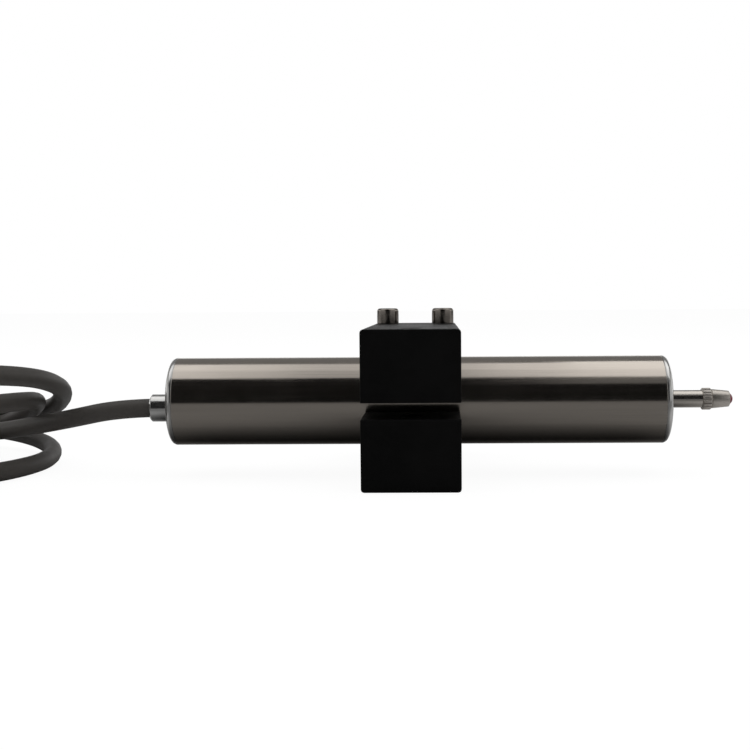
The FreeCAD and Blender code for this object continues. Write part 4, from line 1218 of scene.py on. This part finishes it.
class SENSOR_OT_clamp_block(bpy.types.Operator):
    """Mill the clamp block: bore, slit, clamp-screw hole and mounting holes"""

    bl_idname = "sensor.clamp_block"
    bl_label = "Clamp block"

    bore = TUBE_RADIUS + 0.04 * MM
    slit = 3.4 * MM
    arc_steps = 96
    edge_steps = 4
    end_share = 0.8
    rim = 0.25 * MM
    clamp_hole = 2.15 * MM
    clamp_hole_y = -18.87 * MM
    mounting_hole = 1.7 * MM
    drill_past = 1.0 * MM
    drill_sides = 72

    def outline(self):
        """The block's Y and Z outline from the front lower corner, with the bore's arc."""
        low, high = BLOCK_LOW, BLOCK_HIGH
        half = self.slit / 2
        opening = math.asin(half / self.bore)
        points = [(low.y, low.z), (high.y, low.z), (high.y, high.z), (low.y, high.z)]
        points.append((low.y, AXIS_HEIGHT + half))
        for step in range(self.arc_steps + 1):
            angle = math.pi - opening - (2 * math.pi - 2 * opening) * step / self.arc_steps
            points.append((self.bore * math.cos(angle), AXIS_HEIGHT + self.bore * math.sin(angle)))
        points.append((low.y, AXIS_HEIGHT - half))
        return points

    def weight(self, sizes, one, two):
        """How much of the long edges' round an edge gets."""
        small = sizes.block_break / sizes.block_round
        along = abs(one.x - two.x) > CLOSE
        if along:
            in_bore = math.hypot(one.y, one.z - AXIS_HEIGHT) < self.bore + CLOSE
            at_mouth = abs(abs(one.z - AXIS_HEIGHT) - self.slit / 2) < CLOSE
            return 0.0 if in_bore and not at_mouth else small
        level = abs(one.z - two.z) < CLOSE
        outside = min(abs(one.z - height) for height in (BLOCK_LOW.z, BLOCK_HIGH.z)) < CLOSE
        return 1.0 if level and outside else small * self.end_share

    def cutter(self, name, place, radius, planes):
        """An upright drill with a flare at each plane (height, which way the metal lies)."""
        profile = [(BLOCK_LOW.z - self.drill_past, radius + self.rim)]
        for height, above in planes:
            near, far = (height, radius + self.rim), (height + above * self.rim, radius)
            profile += [near, far] if above > 0 else [far, near]
        profile.append((BLOCK_HIGH.z + self.drill_past, radius + self.rim))
        rings = [(profile[0][0], 0)] + profile + [(profile[-1][0], 0)]
        mesh = to_mesh(lathe(rings, closed=False, sides=self.drill_sides), name)
        upright = Matrix.Rotation(-math.pi / 2, 4, "Y")
        mesh.transform(Matrix.Translation((*place, 0)) @ upright)
        tool = bpy.data.objects.new(name, mesh)
        bpy.context.scene.collection.objects.link(tool)
        return tool

    def execute(self, context):
        sizes, colours = context.scene.sensor_sizes, context.scene.sensor_colours
        shape = bmesh.new()
        points = self.outline()
        sides = []
        for x in (BLOCK_LOW.x, BLOCK_HIGH.x):
            sides.append([shape.verts.new((x, y, z)) for y, z in points])
        shape.faces.new(sides[0])
        shape.faces.new(reversed(sides[1]))
        for step in range(len(points)):
            after = (step + 1) % len(points)
            shape.faces.new((sides[0][step], sides[1][step], sides[1][after], sides[0][after]))
        bmesh.ops.recalc_face_normals(shape, faces=shape.faces)
        weights = shape.edges.layers.float.new("bevel_weight_edge")
        for edge in shape.edges:
            edge[weights] = self.weight(sizes, edge.verts[0].co, edge.verts[1].co)
        block = bpy.data.objects.new("block", to_mesh(shape, "block"))
        context.scene.collection.objects.link(block)
        bevel = block.modifiers.new("Edges", "BEVEL")
        bevel.limit_method = "WEIGHT"
        bevel.width = sizes.block_round
        bevel.segments = self.edge_steps
        low, high = BLOCK_LOW.z, BLOCK_HIGH.z
        upper, lower = AXIS_HEIGHT + self.slit / 2, AXIS_HEIGHT - self.slit / 2
        screw_x = (SCREWS_HIGH.x - SCREWS_LOW.x) / 2 - SCREW_HEAD_RADIUS
        lips = [(low, 1), (lower, -1), (upper, 1), (high, -1)]
        drills = [self.cutter("clamp_drill", (0, self.clamp_hole_y), self.clamp_hole, lips)]
        for side in (-1, 1):
            place, lips = (side * screw_x, SCREW_Y), [(low, 1), (high, -1)]
            drills.append(self.cutter("mounting_drill", place, self.mounting_hole, lips))
        for drill in drills:
            cut = block.modifiers.new("Hole", "BOOLEAN")
            cut.object = drill
            cut.operation = "DIFFERENCE"
            cut.solver = "EXACT"
        mesh = plain_mesh(block)
        finish = black_anodised(colours.block, self.clamp_hole_y, self.clamp_hole + self.rim)
        for item in [block] + drills:
            bpy.data.objects.remove(item)
        add_piece("block", softened(mesh, 0), "clamp", "black_anodised", finish, "clamp_block")
        return {"FINISHED"}


def screw_tree():
    """Geometry nodes that stand copies of a screw in a row along X."""
    inputs = [
        ("Count", "NodeSocketInt", 2),
        ("Start", "NodeSocketVector", None),
        ("Pitch", "NodeSocketFloat", 14.0 * MM),
        ("Turn", "NodeSocketFloat", 0.0),
        ("Material", "NodeSocketMaterial", None),
    ]
    group, tree, entry, leave = shape_group("Screws in a row", inputs)
    given = entry.outputs
    offset = tree.vector(given["Pitch"], 0.0, 0.0)
    sockets = {"Count": given["Count"], "Start Location": given["Start"], "Offset": offset}
    row = tree.add("GeometryNodeMeshLine", {"mode": "OFFSET"}, sockets)
    index = tree.add("GeometryNodeInputIndex").outputs[0]
    turn = tree.vector(0.0, 0.0, tree.math("MULTIPLY", index, given["Turn"]))
    sockets = {"Points": row.outputs[0], "Instance": given["Geometry"], "Rotation": turn}
    stood = tree.add("GeometryNodeInstanceOnPoints", {}, sockets).outputs[0]
    tree.feed(leave.inputs[0], realized(tree, stood, given["Material"]))
    return group


class SENSOR_OT_screws(bpy.types.Operator):
    """Stand the two socket-head mounting screws in the block"""

    bl_idname = "sensor.screws"
    bl_label = "Mounting screws"

    shank_radius = 1.5 * MM
    point_break = 0.3 * MM
    head_height = 3.9 * MM
    seat_break = 0.12 * MM
    socket_depth = 1.8 * MM
    socket_cone = 0.6 * MM
    socket_break = 0.15 * MM
    pitch = 14.0 * MM
    count = 2
    turn = math.radians(23)
    round_steps = 5
    sides = 96

    def hexagon(self, across):
        """A hexagon's reach from its middle, for the angle."""

        def reach(angle):
            sector = (angle % (math.pi / 3)) - math.pi / 6
            return across / 2 / math.cos(sector)

        return reach

    def execute(self, context):
        sizes, colours = context.scene.sensor_sizes, context.scene.sensor_colours
        end, top = SCREWS_LOW.z, SCREWS_HIGH.z
        seat = top - self.head_height
        shank, head, rim = self.shank_radius, SCREW_HEAD_RADIUS, sizes.head_round
        rings = [(end, 0), (end, shank - self.point_break), (end + self.point_break, shank)]
        rings += [(seat, shank), (seat, head - self.seat_break), (seat + self.seat_break, head)]
        for step in range(self.round_steps + 1):
            angle = math.pi / 2 * step / self.round_steps
            rings.append((top - rim + rim * math.sin(angle), head - rim + rim * math.cos(angle)))
        socket = self.hexagon(sizes.socket_across)
        rings += [
            (top, socket(0) + self.socket_break),
            (top - self.socket_break, socket),
            (top - self.socket_depth, socket),
            (top - self.socket_depth - self.socket_cone, 0),
        ]
        mesh = softened(to_mesh(lathe(rings, closed=False, sides=self.sides), "screw"), 0)
        mesh.transform(Matrix.Rotation(-math.pi / 2, 4, "Y"))
        steel = screw_steel(colours.screws, self.pitch / 2)
        values = {
            "Count": self.count,
            "Start": (-self.pitch / 2, SCREW_Y, 0),
            "Pitch": self.pitch,
            "Turn": self.turn,
            "Material": steel,
        }
        both = grown("screws", mesh, screw_tree(), values)
        add_piece("screws", both, "clamp", "screw_steel", steel, "mounting_screws")
        return {"FINISHED"}


# Inner pieces

COIL_LEAD_PAINTS = [(0.5, 0.12, 0.02), (0.5, 0.42, 0.03), (0.02, 0.06, 0.3), (0.25, 0.26, 0.27)]


class SENSOR_OT_body(bpy.types.Operator):
    """Finish the body tube and the pieces inside it"""

    bl_idname = "sensor.body"
    bl_label = "Body tube and inner pieces"

    def execute(self, context):
        colours = context.scene.sensor_colours
        dress_node("body_tube", brushed_stainless(colours.tube))
        rubber = smooth_plastic("seal_rubber", colours.rubber, rough=0.55, scale=4000.0, specular=0.35)
        former = smooth_plastic("former_plastic", colours.former, rough=0.45)
        chips = smooth_plastic("chip_black", colours.chips, rough=0.38)
        copper = wound_copper(colours.copper)
        # Name, colour, pitch of the lathe marks, lowest and highest roughness, and the marks' depth
        metals = [
            ("bearing_bronze", colours.bronze, 5000.0, 0.2, 0.32, 0.004 * MM),
            ("shield_alloy", colours.shield, 3000.0, 0.24, 0.34, 0.004 * MM),
            ("spring_steel", colours.rod, 2500.0, 0.16, 0.26, 0.002 * MM),
            ("inner_aluminium", colours.caps, 4500.0, 0.18, 0.28, 0.004 * MM),
        ]
        bronze, shield, spring, sleeve = (
            turned_metal(name, colour, AXIS_HEIGHT, *marks) for name, colour, *marks in metals
        )
        coil_wires = wire_colours("coil_leads", 3.0 * MM, COIL_LEAD_PAINTS, rough=0.3)
        cores = wire_colours("cable_cores", 0.92 * MM, LEAD_PAINTS, rough=0.34)
        finishes = {
            rubber: ["wiper_seal", "cable_grommet"],
            bronze: ["front_bushing"],
            former: ["coil_former"],
            copper: ["rear_secondary", "primary_winding", "front_secondary"],
            shield: ["shield_tube", "cable_crimp"],
            spring: ["return_spring"],
            sleeve: ["guide_sleeve", "spring_seat", "rear_spacer"],
            printed_board(colours.board): ["circuit_board"],
            chips: ["board_parts"],
            coil_wires: ["coil_leads"],
            cores: ["cable_cores"],
        }
        for material, names in finishes.items():
            for name in names:
                dress_node(name, material)
        return {"FINISHED"}


class SENSOR_PT_panel(bpy.types.Panel):
    """Sidebar panel that lists the settings and the steps"""

    bl_idname = "SENSOR_PT_panel"
    bl_label = "Displacement sensor"
    bl_space_type = "VIEW_3D"
    bl_region_type = "UI"
    bl_category = "Sensor"

    def draw(self, context):
        scene = context.scene
        for group in (scene.sensor_sizes, scene.sensor_colours, scene.sensor_stage):
            box = self.layout.box()
            for name in group.__annotations__:
                box.prop(group, name)
        for operator in OPERATORS:
            self.layout.operator(operator.bl_idname)


OPERATORS = [
    SENSOR_OT_stage,
    SENSOR_OT_cable,
    SENSOR_OT_body,
    SENSOR_OT_end_caps,
    SENSOR_OT_ferrule,
    SENSOR_OT_probe,
    SENSOR_OT_clamp_block,
    SENSOR_OT_screws,
]
SETTINGS = {"sensor_colours": SensorColours, "sensor_sizes": SensorSizes, "sensor_stage": SensorStage}
CLASSES = list(SETTINGS.values()) + OPERATORS + [SENSOR_PT_panel]


def register():
    for item in CLASSES:
        bpy.utils.register_class(item)
    for name, group in SETTINGS.items():
        setattr(bpy.types.Scene, name, PointerProperty(type=group))


def unregister():
    for name in SETTINGS:
        delattr(bpy.types.Scene, name)
    for item in reversed(CLASSES):
        bpy.utils.unregister_class(item)


def main():
    register()
    bpy.ops.sensor.stage()
    bpy.ops.sensor.cable()
    bpy.ops.sensor.body()
    bpy.ops.sensor.end_caps()
    bpy.ops.sensor.ferrule()
    bpy.ops.sensor.probe()
    bpy.ops.sensor.clamp_block()
    bpy.ops.sensor.screws()


if __name__ == "__main__":
    main()
